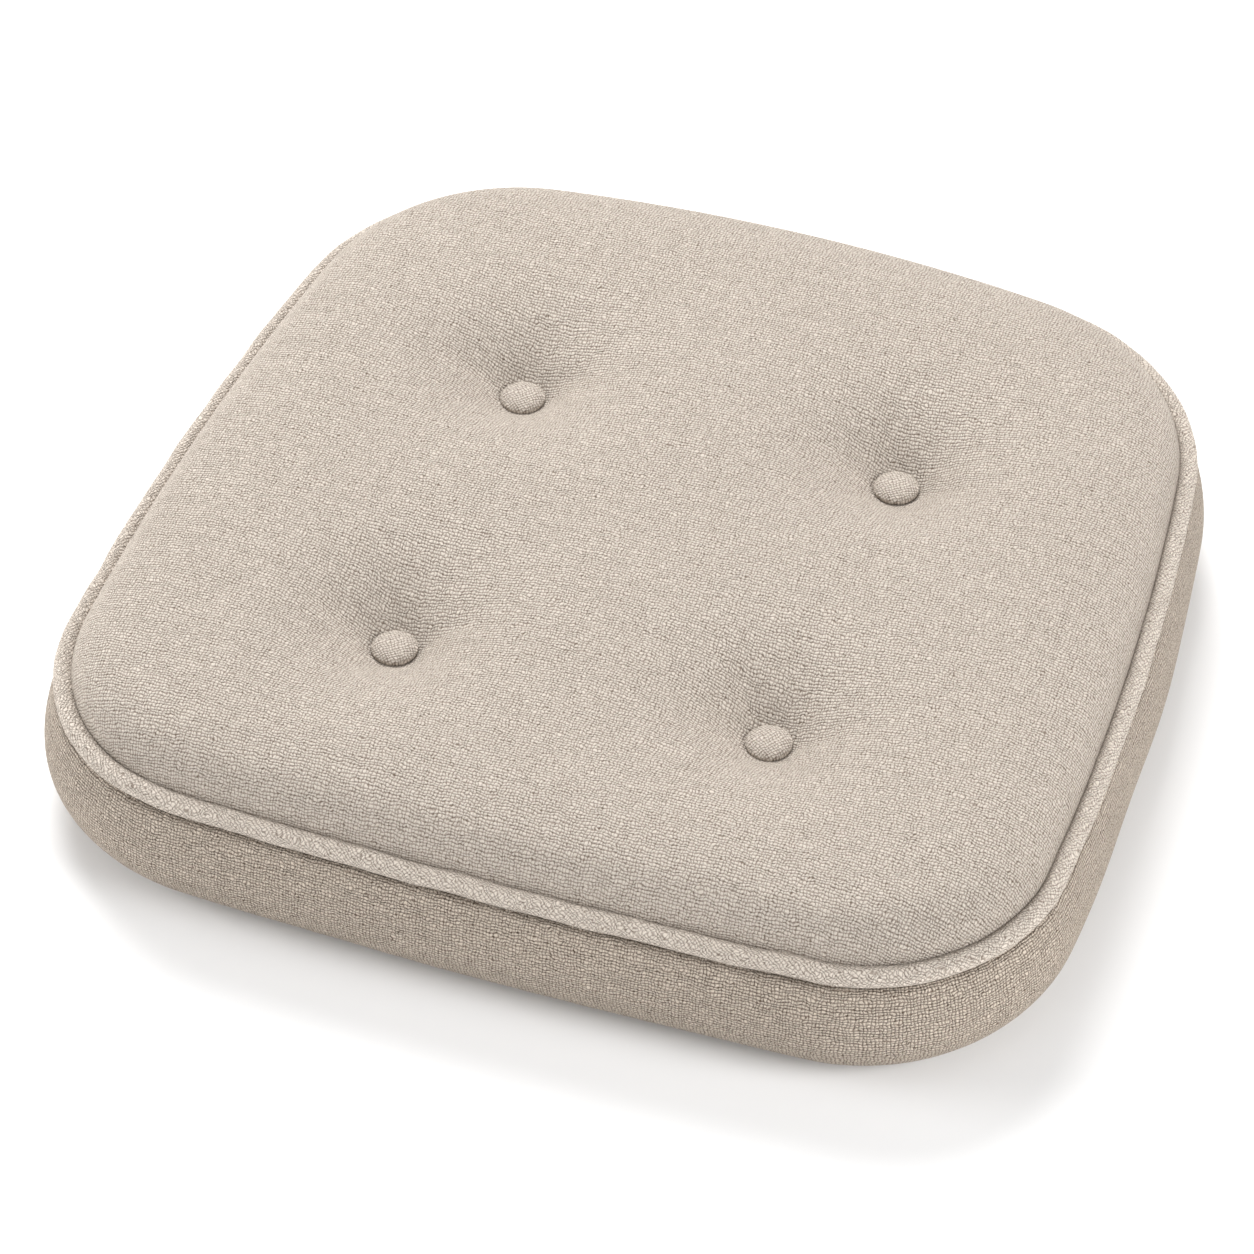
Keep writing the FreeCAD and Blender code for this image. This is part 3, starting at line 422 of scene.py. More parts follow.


# the tone at the bottom of the hollows between the yarns, darkened as painted shade
CLOTH_GAP_SHADE = rgb(0.090, 0.056, 0.033)
CLOTH_LIGHT = rgb(0.598, 0.534, 0.469)
COVER = weave("linen_cover", CLOTH_GAP_SHADE, CLOTH_LIGHT, 0.0005)
# the cover's cloth again, a touch lighter with paler gaps: painted light, its tone set to the lit tops of the
# buttons
BUTTON = weave("linen_button_lit", CLOTH_GAP_SHADE, rgb(0.620, 0.554, 0.487), 0.0004, gap=0.18)
# the cover's cloth again, with darker, warmer gaps and stronger contrast: painted shade of the raking light
# and of light bounced between the nubs on the boxing's sides
BOXING = weave("linen_boxing_shaded", rgb(0.072, 0.039, 0.020), rgb(0.670, 0.576, 0.482), 0.0010, gap=0.0)
# the cover's cloth again, turned to the bias, lighter and with paler gaps: painted light, its tone set to the
# lit welt
BIAS = weave(
    "linen_bias_lit", CLOTH_GAP_SHADE, rgb(0.690, 0.616, 0.541), 0.0005, turn=math.radians(38), wander=1.6, gap=0.2
)
TAPE = weave(
    "zip_tape_weave", rgb(0.30, 0.25, 0.20), rgb(0.50, 0.42, 0.34), 0.0001, pitch=0.0006, wander=0.3
)
COIL = plain("zip_coil_nylon", rgb(0.36, 0.30, 0.24), rgb(0.46, 0.39, 0.31), 900, (0.38, 0.5), 0.00002)
METAL = plain(
    "satin_nickel", rgb(0.33, 0.31, 0.28), rgb(0.47, 0.45, 0.41), 700, (0.26, 0.42), 0.00001,
    stretch=(1, 6, 1), Metallic=1.0,
)
TIN = plain(
    "tinplate", rgb(0.52, 0.52, 0.52), rgb(0.68, 0.68, 0.67), 500, (0.3, 0.5), 0.00001, Metallic=1.0
)
WIRE = plain(
    "bright_wire", rgb(0.46, 0.46, 0.47), rgb(0.62, 0.62, 0.62), 900, (0.25, 0.4), 0.00001, Metallic=1.0
)
TWINE = plain(
    "waxed_twine", rgb(0.52, 0.46, 0.36), rgb(0.76, 0.70, 0.58), 1600, (0.6, 0.75), 0.00005,
    stretch=(1, 1, 3),
)
BACKING = plain(
    "moulded_backing", rgb(0.40, 0.34, 0.28), rgb(0.46, 0.40, 0.33), 420, (0.42, 0.55), 0.00002
)
THREAD = plain("sewing_thread", rgb(0.42, 0.36, 0.29), rgb(0.62, 0.55, 0.46), 2400, (0.6, 0.8), 0.00004)
FOAM = plain("seat_foam", rgb(0.62, 0.54, 0.33), rgb(0.80, 0.73, 0.50), 900, (0.85, 0.98), 0.0004)
WADDING = plain("fibre_wadding", rgb(0.74, 0.74, 0.72), rgb(0.90, 0.90, 0.88), 650, (0.9, 1.0), 0.0005)
CORD = plain("cotton_cord", rgb(0.62, 0.59, 0.52), rgb(0.82, 0.79, 0.72), 900, (0.8, 0.95), 0.0002)


# ---------------------------------------------------------------- the top panel
def funnel_share(r, floor=SEAT_R):
    """How far the cloth is pulled down at a distance r from a tuft: 0 at the mouth, 1 at the button."""
    return np.clip((FUNNEL_MOUTH - r) / (FUNNEL_MOUTH - floor), 0, 1) ** 2


def edge_height(d):
    """Height of the rolled edge, a quarter of an ellipse, at a distance d inside the seam line."""
    t = np.clip((d - EDGE_START) / EDGE_RUN, 0, 1)
    return WELT_Z + EDGE_RISE * np.sqrt(1 - (1 - t) ** 2)


def crown(depth):
    return CROWN * smooth(depth, 0.018, 0.15)


def top_height(xy):
    depth, _ = inward(xy)
    z = edge_height(depth) + crown(depth)
    for x, y in TUFTS.values():
        share = funnel_share(np.hypot(xy[:, 0] - x, xy[:, 1] - y))
        z = z - (z - SEAT_Z) * share
    return z


def panel_cloth(xy):
    """Where each point of the top lies in the flat cloth, allowing for the rolled edge and the tufts."""
    depth, out = inward(xy)
    d = np.linspace(EDGE_START, EDGE_START + EDGE_RUN, 400)
    run = np.hypot(np.diff(d), np.diff(edge_height(d)))
    extra = np.concatenate([np.cumsum((run - np.diff(d))[::-1])[::-1], [0]])
    flat = xy + out * np.interp(depth, d, extra)[:, None]
    r = np.linspace(0, FUNNEL_MOUTH, 400)
    z = -funnel_share(r) * FUNNEL_DROP
    area = np.concatenate([[0], np.cumsum(np.hypot(np.diff(r), np.diff(z)) * (r[1:] + r[:-1]) / 2)])
    cloth_r = FUNNEL_MOUTH * np.sqrt(area / area[-1])
    for x, y in TUFTS.values():
        off = xy - [x, y]
        far = np.hypot(off[:, 0], off[:, 1])
        scale = np.where(far < FUNNEL_MOUTH, np.interp(far, r, cloth_r) / np.maximum(far, 1e-6), 1.0)
        flat = flat + off * (scale - 1)[:, None]
    return flat


def coons(south, east, north, west):
    """A grid over four edges that meet at their ends, evened out by repeated averaging."""
    m, n = len(south), len(east)
    u = np.linspace(0, 1, m)[:, None, None]
    v = np.linspace(0, 1, n)[None, :, None]
    grid = (1 - v) * south[:, None] + v * north[:, None] + (1 - u) * west[None] + u * east[None]
    grid = grid - (
        (1 - u) * (1 - v) * south[0] + u * (1 - v) * south[-1] + (1 - u) * v * north[0] + u * v * north[-1]
    )
    for _ in range(60):
        middle = (grid[2:, 1:-1] + grid[:-2, 1:-1] + grid[1:-1, 2:] + grid[1:-1, :-2]) / 4
        grid[1:-1, 1:-1] = middle
    return grid


def loop_samples(step):
    """Distances round the seam line, with whole numbers of steps between the corners' middles."""
    ends = [CORNERS[3] - ROUND, CORNERS[0], CORNERS[1], CORNERS[2], CORNERS[3]]
    counts = [2 * round((ends[1] - ends[0]) / step / 2), 2 * round((ends[2] - ends[1]) / step / 2)] * 2
    parts = [np.linspace(a, b, n, endpoint=False) for a, b, n in zip(ends, ends[1:], counts)]
    return np.concatenate(parts), counts[0], counts[1]


def disc(insets, step, snap=()):
    """A flat mesh inside the seam line: rings at the given insets, then a grid.

    snap lists circles (x, y, radius) for nearby points of the grid to lie on. Returns the points, the quads
    and how many points a ring has.
    """
    s, across, along = loop_samples(step)
    count = len(s)
    rings = [at(s, -inset)[0] for inset in insets]
    last = rings[-1]
    south = last[: across + 1]
    east = last[across : across + along + 1]
    north = last[across + along : 2 * across + along + 1][::-1]
    west = np.concatenate([last[2 * across + along :], last[:1]])[::-1]
    grid = coons(south, east, north, west)
    for x, y, ring in snap:
        off = grid - [x, y]
        far = np.hypot(off[..., 0], off[..., 1])
        near = np.abs(far - ring) < 0.45 * step
        near[0, :] = near[-1, :] = near[:, 0] = near[:, -1] = False
        grid[near] = [x, y] + off[near] * (ring / far[near])[:, None]
    faces = list(lattice(len(rings), count, close_cols=True))
    number = np.full(grid.shape[:2], -1)
    base = (len(rings) - 1) * count
    number[:, 0] = base + np.arange(across + 1)
    number[-1, :] = base + across + np.arange(along + 1)
    number[:, -1] = base + (across + along + np.arange(across + 1))[::-1]
    number[0, :] = base + ((2 * across + along + np.arange(along + 1)) % count)[::-1]
    inside = number < 0
    number[inside] = len(rings) * count + np.arange(inside.sum())
    a, b, c, d = number[:-1, :-1], number[1:, :-1], number[1:, 1:], number[:-1, 1:]
    faces += list(np.stack([a, b, c, d], 2).reshape(-1, 4))
    points = np.concatenate(rings + [grid[inside]])
    return points, faces, count


def simulate(obj, pinned, pressure, cap):
    """Puffs obj up as cloth held at its pinned points, and keeps at most cap of each point's movement."""
    mesh = obj.data
    count = len(mesh.vertices)
    start = np.empty(count * 3)
    mesh.vertices.foreach_get("co", start)
    start = start.reshape(-1, 3)
    group = obj.vertex_groups.new(name="pinned")
    for weight in np.unique(np.round(pinned, 2)):
        if weight > 0:
            chosen = np.nonzero(np.round(pinned, 2) == weight)[0].tolist()
            group.add(chosen, float(weight), "REPLACE")
    change = obj.modifiers.new("puff", "CLOTH")
    cloth = change.settings
    cloth.quality = 6
    cloth.mass = 0.15
    cloth.vertex_group_mass = "pinned"
    cloth.pin_stiffness = 1.0
    cloth.tension_stiffness = cloth.compression_stiffness = 25
    cloth.shear_stiffness = 12
    cloth.bending_stiffness = 0.8
    cloth.use_pressure = True
    cloth.uniform_pressure_force = pressure
    cloth.effector_weights.gravity = 0
    change.collision_settings.use_collision = False
    scene = bpy.context.scene
    for number in range(1, SIM_FRAMES + 1):
        scene.frame_set(number)
    shape = obj.evaluated_get(bpy.context.evaluated_depsgraph_get()).data
    end = np.empty(count * 3)
    shape.vertices.foreach_get("co", end)
    moved = end.reshape(-1, 3) - start
    obj.modifiers.remove(change)
    scene.frame_set(1)
    length = np.linalg.norm(moved, axis=1)
    print("puffed", obj.name, "mean and most, mm:", *np.round([length.mean() * 1000, length.max() * 1000], 2))
    moved *= (cap * np.tanh(length / cap) / np.maximum(length, 1e-9))[:, None]
    mesh.vertices.foreach_set("co", (start + moved).ravel())
    mesh.update()
    obj.vertex_groups.remove(group)


# the folds round each button: how many, their phase, and their share of the full height
FOLDS = {
    "front_left": (5, 0.4, 0.9),
    "front_right": (6, 2.1, 0.8),
    "back_left": (5, 1.2, 0.9),
    "back_right": (6, 4.0, 0.8),
}


def make_top_panel():
    insets = EDGE_START + EDGE_RUN * (1 - np.cos(np.linspace(0, math.pi / 2, 12)))
    insets = np.concatenate([insets, insets[-1] + 0.0032 * np.arange(1, 5)])
    snap = [(x, y, SEAT_R) for x, y in TUFTS.values()]
    flat, faces, count = disc(insets, STEP, snap)
    z = top_height(flat)
    for label, (folds, phase, size) in FOLDS.items():
        off = flat - TUFTS[label]
        r, turn = np.hypot(off[:, 0], off[:, 1]), np.arctan2(off[:, 1], off[:, 0])
        wave = np.cos(folds * turn + phase) + 0.6 * np.cos((folds + 3) * turn - 2 * phase)
        reach = smooth(r, 0.0105, 0.017) * (1 - smooth(r, 0.02, 0.044))
        z = z + 0.0007 * size * wave * reach
    depth, _ = inward(flat)
    z = z + 0.0004 * rumple(flat[:, 0], flat[:, 1], 0.05, 0.12, 5) * smooth(depth, 0.01, 0.03)
    points = np.column_stack([flat, z])
    obj = add_piece("top_panel_cloth", points, faces, COVER, panel_cloth(flat))
    near = np.min([np.hypot(flat[:, 0] - x, flat[:, 1] - y) for x, y in TUFTS.values()], axis=0)
    pinned = np.maximum(1 - smooth(depth, 0.004, 0.02), 1 - smooth(near, 0.0105, 0.016))
    simulate(obj, pinned, 3.0, 0.0018)
    thicken(obj)
    subdivide(obj)
    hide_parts("top_panel")
    return obj, count


# ---------------------------------------------------------------- the boxing
def boxing_profile(low=None, high=None):
    """Outward distance, height and length along the cloth of the boxing's outer face, between two heights."""
    lower = np.radians(np.linspace(-90, 0, 16))[:-1]
    upper = np.linspace(0, math.asin((SHOULDER_TOP - ZIP_Z) / SHOULDER_R), 14)
    n = np.concatenate([
        BULGE - ZIP_Z + ZIP_Z * np.cos(lower),
        BULGE - SHOULDER_R + SHOULDER_R * np.cos(upper),
        TURN_IN_N,
    ])
    z = np.concatenate([
        ZIP_Z + ZIP_Z * np.sin(lower),
        ZIP_Z + SHOULDER_R * np.sin(upper),
        TURN_IN_Z,
    ])
    length = np.concatenate([[0], np.cumsum(np.hypot(np.diff(n), np.diff(z)))])
    first = 0 if low is None else np.interp(low, z, length)
    last = length[-1] if high is None else np.interp(high, z, length)
    steps = np.linspace(first, last, max(4, round((last - first) / BOXING_ROW)))
    return np.interp(steps, length, n), np.interp(steps, length, z), steps


def boxing_sway(s, z):
    """Soft unevenness of the strip, with short puckers near its two seams."""
    top = math.exp(-max(0.0, 0.0545 - z) / 0.007)
    foot = math.exp(-z / 0.006)
    from_zip = np.abs(np.mod(s - HALF + ROUND / 2, ROUND) - ROUND / 2)
    calm = 1 - 0.75 * np.exp(-((from_zip / 0.14) ** 2))
    broad = 0.0007 * calm * waves(s + 0.4 * z, ROUND, 0.07, 0.22, 21)
    fine = 0.0004 * waves(s, ROUND, 0.012, 0.03, 22) * (top + foot)
    middle = math.sin(math.pi * min(1, max(0, z / 0.056)))
    return broad * middle + fine * (1 if z > 0.003 else 0.3)


def boxing_strip(name, s, profile):
    """Sweeps a profile (outward, height, cloth length) along the distances s."""
    n, z, length = profile
    rows = []
    for out_by, level in zip(n, z):
        xy, _ = at(s, out_by + boxing_sway(s, level))
        rows.append(np.column_stack([xy, np.full(len(s), level)]))
    uv = np.column_stack([np.tile(s, len(n)), np.repeat(length, len(s))])
    return add_piece(name, np.concatenate(rows), lattice(len(n), len(s)), BOXING, uv)


def make_boxing():
    gap = BACK_R * BOXING_ANGLE
    count = round((ROUND - 2 * gap) / STEP)
    s = np.linspace(HALF + gap, HALF - gap + ROUND, count)
    pieces = [(boxing_strip("boxing_front", s, boxing_profile()), "front_boxing")]
    s = np.linspace(HALF - gap, HALF + gap, round(2 * gap / 0.003))
    spans = {"lower": (None, ZIP_Z - ZIP_HALF_GAP), "upper": (ZIP_Z + ZIP_HALF_GAP, None)}
    for label, span in spans.items():
        strip = boxing_strip(f"boxing_rear_{label}", s, boxing_profile(*span))
        pieces.append((strip, f"rear_boxing_{label}"))
    for obj, node in pieces:
        thicken(obj)
        subdivide(obj)
        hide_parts(node)


# ---------------------------------------------------------------- the welt
def make_welt():
    count = round(ROUND / WELT_STEP)
    s = np.arange(count) * ROUND / count + HALF
    angle = np.linspace(0, 2 * math.pi, 18, endpoint=False) + math.pi
    swell = 1 + 0.022 * waves(s, ROUND, 0.014, 0.05, 31)
    drift_n = 0.00022 * waves(s, ROUND, 0.03, 0.12, 32)
    drift_z = 0.00022 * waves(s, ROUND, 0.03, 0.12, 33)
    from_join = np.minimum(s - HALF, HALF + ROUND - s)
    join = 0.07 * np.exp(-((from_join / 0.005) ** 2))
    r = WELT_R * (swell + join)
    rows = []
    for a in angle:
        xy, _ = at(s, r * math.cos(a) + drift_n)
        rows.append(np.column_stack([xy, WELT_Z + r * math.sin(a) + drift_z]))
    points = np.concatenate(rows)
    around = np.arange(len(angle)) * 2 * math.pi * WELT_R / len(angle)
    uv = np.column_stack([np.tile(s, len(angle)), np.repeat(around, len(s))])
    faces = lattice(len(angle), len(s), close_rows=True, close_cols=True)
    tube = add_piece("welt_bias_strip", points, faces, BIAS, uv)
    subdivide(tube)
    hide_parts("welt_cover")


# ---------------------------------------------------------------- the buttons
def make_buttons():
    """The cloth caps of the buttons, gathered at the rim and turned under."""
    count = 48
    for number, (label, (x, y)) in enumerate(TUFTS.items()):
        r = BUTTON_R * np.sin(np.linspace(0, math.pi / 2, 12)) ** 0.9
        z = 0.0015 + 0.0024 * (1 - (r / BUTTON_R) ** 2.6) ** 0.6
        outer = list(zip(r, z)) + [(0.00948, 0.0007), (0.0092, 0.00025), (0.0085, 0.0001)]
        inner = [(0.0083, 0.0005), (0.0087, 0.0014)]
        for q in (0.0078, 0.006, 0.004, 0.002, 0.0):
            inner.append((q, 0.0013 + 0.0019 * (1 - (q / 0.0088) ** 2.6) ** 0.6))
        points, faces = revolve(outer + inner, count)
        far = np.hypot(points[:, 0], points[:, 1])
        turn = np.arctan2(points[:, 1], points[:, 0])
        tuck = np.cos(24 * turn + number) * smooth(far, 0.0084, 0.0094) * 0.00013
        points[:, :2] *= (1 + tuck / np.maximum(far, 1e-4))[:, None]
        uv = points[:, :2] * (1 + 0.12 * (far / BUTTON_R) ** 2)[:, None]
        spin = math.radians((38, 52, 44, 35)[number])
        uv = uv @ np.array([[math.cos(spin), -math.sin(spin)], [math.sin(spin), math.cos(spin)]])
        points = points + [x, y, SEAT_Z]
        obj = add_piece(f"button_cloth_{label}", points, faces, BUTTON, uv)
        subdivide(obj)
        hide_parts(f"button_cover_{label}")


# ---------------------------------------------------------------- the underside
def dimple_share(xy):
    """How far the backing buttons draw the underside up: 0 at a dimple's mouth, 1 at a button."""
    share = np.zeros(len(xy))
    for x, y in TUFTS.values():
        back = np.clip(DIMPLE_MOUTH - np.hypot(xy[:, 0] - x, xy[:, 1] - y), 0, DIMPLE_MOUTH - BUTTON_R)
        share += (DIMPLE_R - np.sqrt(DIMPLE_R**2 - back**2)) / DIMPLE_FULL
    return share


def make_bottom_panel():
    insets = np.concatenate([[0.0162, 0.0175, 0.0195, 0.0225], 0.0225 + 0.005 * np.arange(1, 4)])
    flat, faces, _ = disc(insets, 0.0046, [(x, y, BUTTON_R) for x, y in TUFTS.values()])
    depth, _ = inward(flat)
    z = 0.0009 * (1 - smooth(depth, 0.0162, 0.0185)) + DIMPLE_DEPTH * dimple_share(flat)
    z += 0.00025 * (1.8 + rumple(flat[:, 0], flat[:, 1], 0.03, 0.09, 8))
    points = np.column_stack([flat, z])
    obj = add_piece("bottom_panel_cloth", points, faces, COVER, flat, flip=True)
    thicken(obj)
    subdivide(obj)
    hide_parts("bottom_panel")


# ---------------------------------------------------------------- the zip
def back_points(angle, n, z):
    """Points on the arcs of the back edge, at an angle from its middle, towards +X."""
    r = BACK_R + np.asarray(n)
    x, y = r * np.sin(angle), BACK_CENTRE_Y + r * np.cos(angle)
    return np.stack(np.broadcast_arrays(x, y, z), -1)


def tube(centre, radius, sides=6):
    """Points and faces of a tube along a polyline."""
    along = np.gradient(centre, axis=0)
    along /= np.linalg.norm(along, axis=1)[:, None]
    side = np.cross(along, [0.0, 0.31, 0.95])
    side /= np.linalg.norm(side, axis=1)[:, None]
    up = np.cross(side, along)
    a = np.arange(sides) * 2 * math.pi / sides
    rings = centre[:, None] + radius * (
        side[:, None] * np.cos(a)[None, :, None] + up[:, None] * np.sin(a)[None, :, None]
    )
    faces = [tuple(f) for f in lattice(len(centre), sides, close_cols=True)]
    faces.append(tuple(range(sides)))
    faces.append(tuple(range((len(centre) - 1) * sides, len(centre) * sides))[::-1])
    return rings.reshape(-1, 3), faces


def make_zip():
    """The two tapes, flat by the teeth and then under the boxing, and the two rows of coil."""
    for label, sign in (("upper", 1), ("lower", -1)):
        angle = np.linspace(-TAPE_ANGLE, TAPE_ANGLE, 110)
        heights = np.linspace(0.0006, 0.014, 12)
        n, z, _ = boxing_profile()
        front = []
        for h in heights:
            level = ZIP_Z + sign * h
            cover = np.interp(level, z, n) + boxing_sway(HALF - angle * BACK_R, level)
            under = TAPE_FACE if h < TAPE_FLAT else np.minimum(TAPE_FACE, cover - TAPE_UNDER)
            front.append(back_points(angle, under, level))
        front = np.stack(front)
        outward = np.stack([np.sin(angle), np.cos(angle), 0 * angle], -1)
        back = front[::-1] - TAPE_THICK * outward
        points = np.concatenate([front, back]).reshape(-1, 3)
        lengths = np.concatenate([heights, heights[::-1]])
        rows = len(lengths)
        uv = np.column_stack([np.tile(angle * BACK_R, rows), np.repeat(lengths, len(angle))])
        faces = [tuple(f) for f in lattice(rows, len(angle), close_rows=True)]
        for end in (0, len(angle) - 1):
            faces.append(tuple((np.arange(rows) * len(angle) + end)[:: 1 if end else -1]))
        tape = add_piece(f"zip_tape_cloth_{label}", points, faces, TAPE, uv, flip=sign > 0)
        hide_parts(f"zip_tape_{label}")

        turns = int(2 * COIL_ANGLE * BACK_R / COIL_PITCH)
        t = np.arange(turns * 10 + 1) / 10
        spin = 2 * math.pi * t
        angle = -COIL_ANGLE + (t + (0.5 if sign < 0 else 0)) * COIL_PITCH / (BACK_R + 0.009)
        middle, reach = 0.00145, 0.00135
        z = ZIP_Z + sign * (middle - reach * np.cos(spin))
        n = COIL_MIDDLE + 0.0004 * np.sin(spin)
        points, faces = tube(back_points(angle, n, z), COIL_WIRE)
        coil = add_piece(f"zip_coil_turns_{label}", points, faces, COIL)
        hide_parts(f"zip_coil_{label}")


def make_stitches():
    """The two lines of topstitching beside the zip."""
    for label, sign in (("upper", 1), ("lower", -1)):
        height = ZIP_Z + sign * (ZIP_HALF_GAP + 0.0045)
        points, faces = [], []
        n, z, _ = boxing_profile()
        out = np.interp(height, z, n)
        gap = BACK_R * BOXING_ANGLE
        t = np.linspace(0, 1, 7)
        for start in np.arange(HALF - gap + 0.003, HALF + gap - 0.003, STITCH_PITCH):
            here = start + t * STITCH
            lift = out + boxing_sway(here, height) + 0.00028 * np.sin(math.pi * t) - 0.00012
            xy, _ = at(here, lift)
            line = np.column_stack([xy, np.full(len(t), height)])
            p, f = tube(line, THREAD_R)
            faces += [tuple(i + len(points) * len(p) for i in g) for g in f]
            points.append(p)
        add_piece(f"zip_topstitch_{label}", np.concatenate(points), faces, THREAD)


# ---------------------------------------------------------------- the filling
def offset_in(obj, depth):
    """The points of obj's own mesh moved inward along their normals."""
    count = len(obj.data.vertices)
    place, normal = np.empty(count * 3), np.empty(count * 3)
    obj.data.vertices.foreach_get("co", place)
    obj.data.vertex_normals.foreach_get("vector", normal)
    return place.reshape(-1, 3) - depth * normal.reshape(-1, 3)


def make_top_wadding(panel, ring):
    """The wadding follows the cover above it and the foam below."""
    outer, inner = offset_in(panel, 0.0013), offset_in(panel, 0.0083)
    outer[:, 2] = np.maximum(outer[:, 2], WELT_Z + 0.0004)
    inner[:, 2] = np.maximum(inner[:, 2], 0.0505)
    inner[:ring, 2] = outer[:ring, 2]
    for x, y in TUFTS.values():
        near = np.hypot(outer[:, 0] - x, outer[:, 1] - y) < 0.0125
        outer[near, 2] = np.minimum(outer[near, 2], SEAT_Z - 0.0014)
        inner[near, 2] = np.minimum(inner[near, 2], SEAT_Z - 0.0084)
    faces = two_layers([p.vertices for p in panel.data.polygons], len(outer), ring)
    obj = add_piece("wadding_top_layer", np.concatenate([outer, inner]), faces, WADDING)
    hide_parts("top_wadding")


def make_foam():
    """The foam, rounded at its edges, pressed in by the buttons above and below."""
    turn = np.linspace(0, math.pi / 2, 7)
    insets = FOAM_INSET + FOAM_RUN * (1 - np.cos(turn))
    insets = np.concatenate([insets, [FOAM_INSET + FOAM_RUN + 0.005]])
    flat, faces, ring = disc(insets, 0.006)
    depth, _ = inward(flat)
    t = np.clip((depth - FOAM_INSET) / FOAM_RUN, 0, 1)
    top = WELT_Z + FOAM_RISE * np.sqrt(1 - (1 - t) ** 2) + crown(depth)
    for x, y in TUFTS.values():
        far = np.hypot(flat[:, 0] - x, flat[:, 1] - y)
        top -= (top - FOAM_SEAT) * funnel_share(far, 0.019)
    near = np.clip(FOAM_INSET + FOAM_FOOT_R - depth, 0, FOAM_FOOT_R)
    low = FOAM_FOOT + FOAM_FOOT_R - np.sqrt(np.maximum(0, FOAM_FOOT_R**2 - near**2))
    low += 0.8 * DIMPLE_FULL * dimple_share(flat)
    points = np.concatenate([np.column_stack([flat, top]), np.column_stack([flat, low])])
    obj = add_piece("foam_block", points, two_layers(faces, len(flat), ring), FOAM)
    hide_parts("foam_core")


def make_side_wadding():
    """The ring of wadding between the foam's sides and the boxing."""
    n, z, _ = boxing_profile()
    slope = np.gradient(np.column_stack([n, z]), axis=0)
    slope /= np.linalg.norm(slope, axis=1)[:, None]
    n, z = n - RING_CLEAR * slope[:, 1], z + RING_CLEAR * slope[:, 0]
    keep = (z > 0.0028) & (z < 0.0555) & (n > -0.0138)
    n, z = n[keep], z[keep]
    inner = np.linspace(z[-1], z[0], 6)
    n = np.concatenate([n, np.full(6, RING_INSIDE)])
    z = np.concatenate([z, inner])
    s = np.arange(320) * ROUND / 320
    rows = [np.column_stack([at(s, out_by)[0], np.full(len(s), level)]) for out_by, level in zip(n, z)]
    faces = lattice(len(n), len(s), close_rows=True, close_cols=True)
    obj = add_piece("wadding_side_ring", np.concatenate(rows), faces, WADDING)
    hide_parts("side_wadding")


def make_bottom_wadding():
    flat, faces, ring = disc([0.0180, 0.0200, 0.0250], 0.008)
    low = 0.0018 + DIMPLE_DEPTH * dimple_share(flat)
    points = np.concatenate([np.column_stack([flat, low + 0.0028]), np.column_stack([flat, low])])
    faces = two_layers(faces, len(flat), ring)
    obj = add_piece("wadding_bottom_layer", points, faces, WADDING)
    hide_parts("bottom_wadding")


def make_welt_cord():
    """Three strands laid round each other inside the welt."""
    s = np.linspace(0, ROUND, 620)
    points, faces = [], []
    for k in range(3):
        turn = 2 * math.pi * (round(ROUND / STRAND_LAY) * s / ROUND + k / 3)
        xy, _ = at(s, STRAND_R * np.cos(turn))
        p, f = tube(np.column_stack([xy, WELT_Z + STRAND_R * np.sin(turn)]), STRAND_R, 8)
        faces += [tuple(int(i) + k * len(p) for i in g) for g in f]
        points.append(p)
    obj = add_piece("welt_cord_strands", np.concatenate(points), faces, CORD)
    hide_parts("welt_cord")


def dress_cad():
    """Materials for the pieces shown by the CAD's own meshes."""
    looks = dict.fromkeys(("zip_slider", "zip_pull", "zip_top_stops", "zip_bottom_stop"), METAL)
    for label in TUFTS:
        looks[f"button_shell_{label}"] = TIN
        looks[f"button_back_{label}"] = TIN
        looks[f"button_eye_{label}"] = WIRE
        looks[f"tuft_twine_{label}"] = TWINE
        looks[f"backing_button_{label}"] = BACKING
    for name, material in looks.items():
        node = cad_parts[name]
        node.data.materials.clear()
        node.data.materials.append(material)


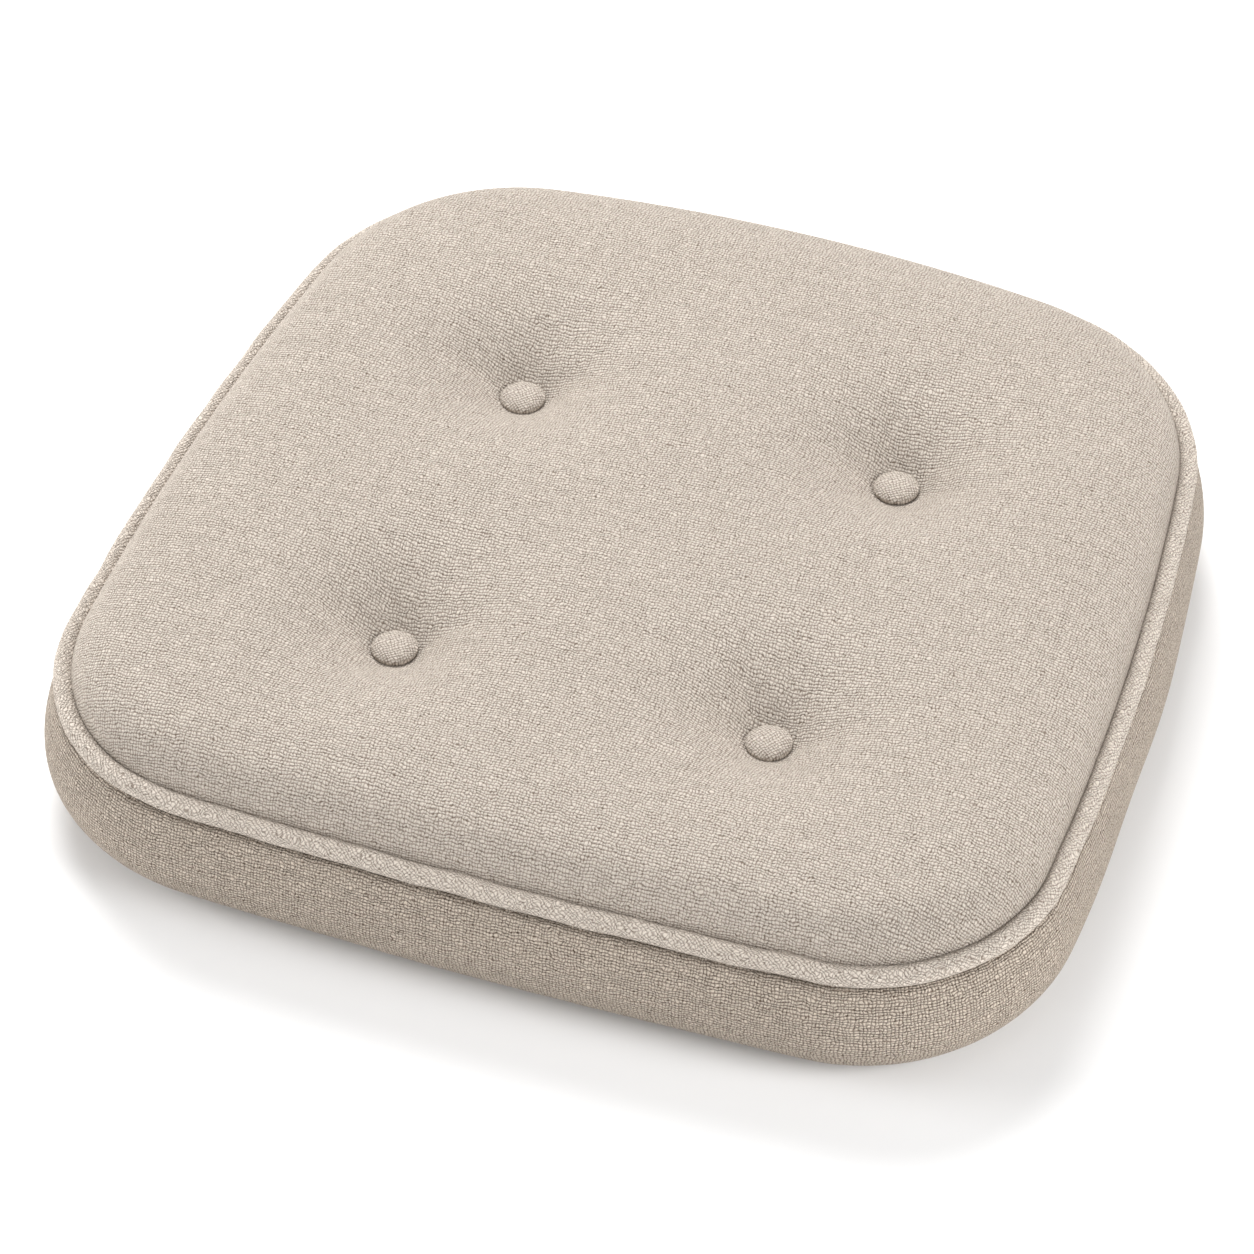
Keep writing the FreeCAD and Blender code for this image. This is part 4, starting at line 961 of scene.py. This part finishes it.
# ---------------------------------------------------------------- floor, lights, camera
def make_stage():
    mesh = bpy.data.meshes.new("floor")
    mesh.from_pydata([(-9, -9, 0), (9, -9, 0), (9, 9, 0), (-9, 9, 0)], [], [(0, 1, 2, 3)])
    floor = bpy.data.objects.new("floor", mesh)
    g = Graph("white_floor", Roughness=0.9)
    tint = g.noise(g.here(), 3.0)
    mesh.materials.append(g.finish(g.mix(tint, rgb(0.90, 0.90, 0.90), rgb(0.92, 0.92, 0.92))))
    bpy.context.scene.collection.objects.link(floor)


def add_light(name, place, target, size, watts):
    light = bpy.data.lights.new(name, "AREA")
    light.shape = "DISK"
    light.size = size
    light.energy = watts
    obj = bpy.data.objects.new(name, light)
    obj.location = place
    obj.rotation_euler = (Vector(target) - Vector(place)).to_track_quat("-Z", "Y").to_euler()
    bpy.context.scene.collection.objects.link(obj)


def make_lights():
    world = bpy.data.worlds.new("studio")
    bpy.context.scene.world = world
    world.use_nodes = True
    background = world.node_tree.nodes["Background"]
    background.inputs["Color"].default_value = (1.0, 1.0, 1.0, 1)
    background.inputs["Strength"].default_value = 0.265
    add_light("key", (-1.05, 1.75, 2.0), (0, 0, 0.05), 2.0, 114)
    add_light("overhead", (-0.3, -0.9, 2.8), (0, 0, 0.05), 1.8, 5)
    add_light("fill_right", (2.1, -0.4, 1.1), (0, 0, 0.05), 1.2, 46)
    add_light("fill_front", (0.4, -2.3, 0.6), (0, 0, 0.03), 1.0, 13)
    add_light("fill_left", (-2.2, -0.7, 0.8), (0, 0, 0.05), 1.2, 36)
    bpy.context.scene.view_settings.view_transform = "Standard"


def make_camera():
    azimuth, elevation, distance = math.radians(19.54), math.radians(44.87), 2.299
    back = Vector((
        math.sin(azimuth) * math.cos(elevation),
        -math.cos(azimuth) * math.cos(elevation),
        math.sin(elevation),
    ))
    data = bpy.data.cameras.new("camera")
    data.lens, data.sensor_width = 159.87, 36
    camera = bpy.data.objects.new("camera", data)
    camera.location = Vector((-0.0076, -0.0154, 0.02465)) + back * distance
    camera.rotation_euler = back.to_track_quat("Z", "Y").to_euler()
    bpy.context.scene.collection.objects.link(camera)
    bpy.context.scene.camera = camera


make_camera()
panel, ring = make_top_panel()
make_boxing()
make_welt()
make_buttons()
make_bottom_panel()
make_zip()
make_stitches()
make_top_wadding(panel, ring)
make_foam()
make_side_wadding()
make_bottom_wadding()
make_welt_cord()
dress_cad()
make_stage()
make_lights()
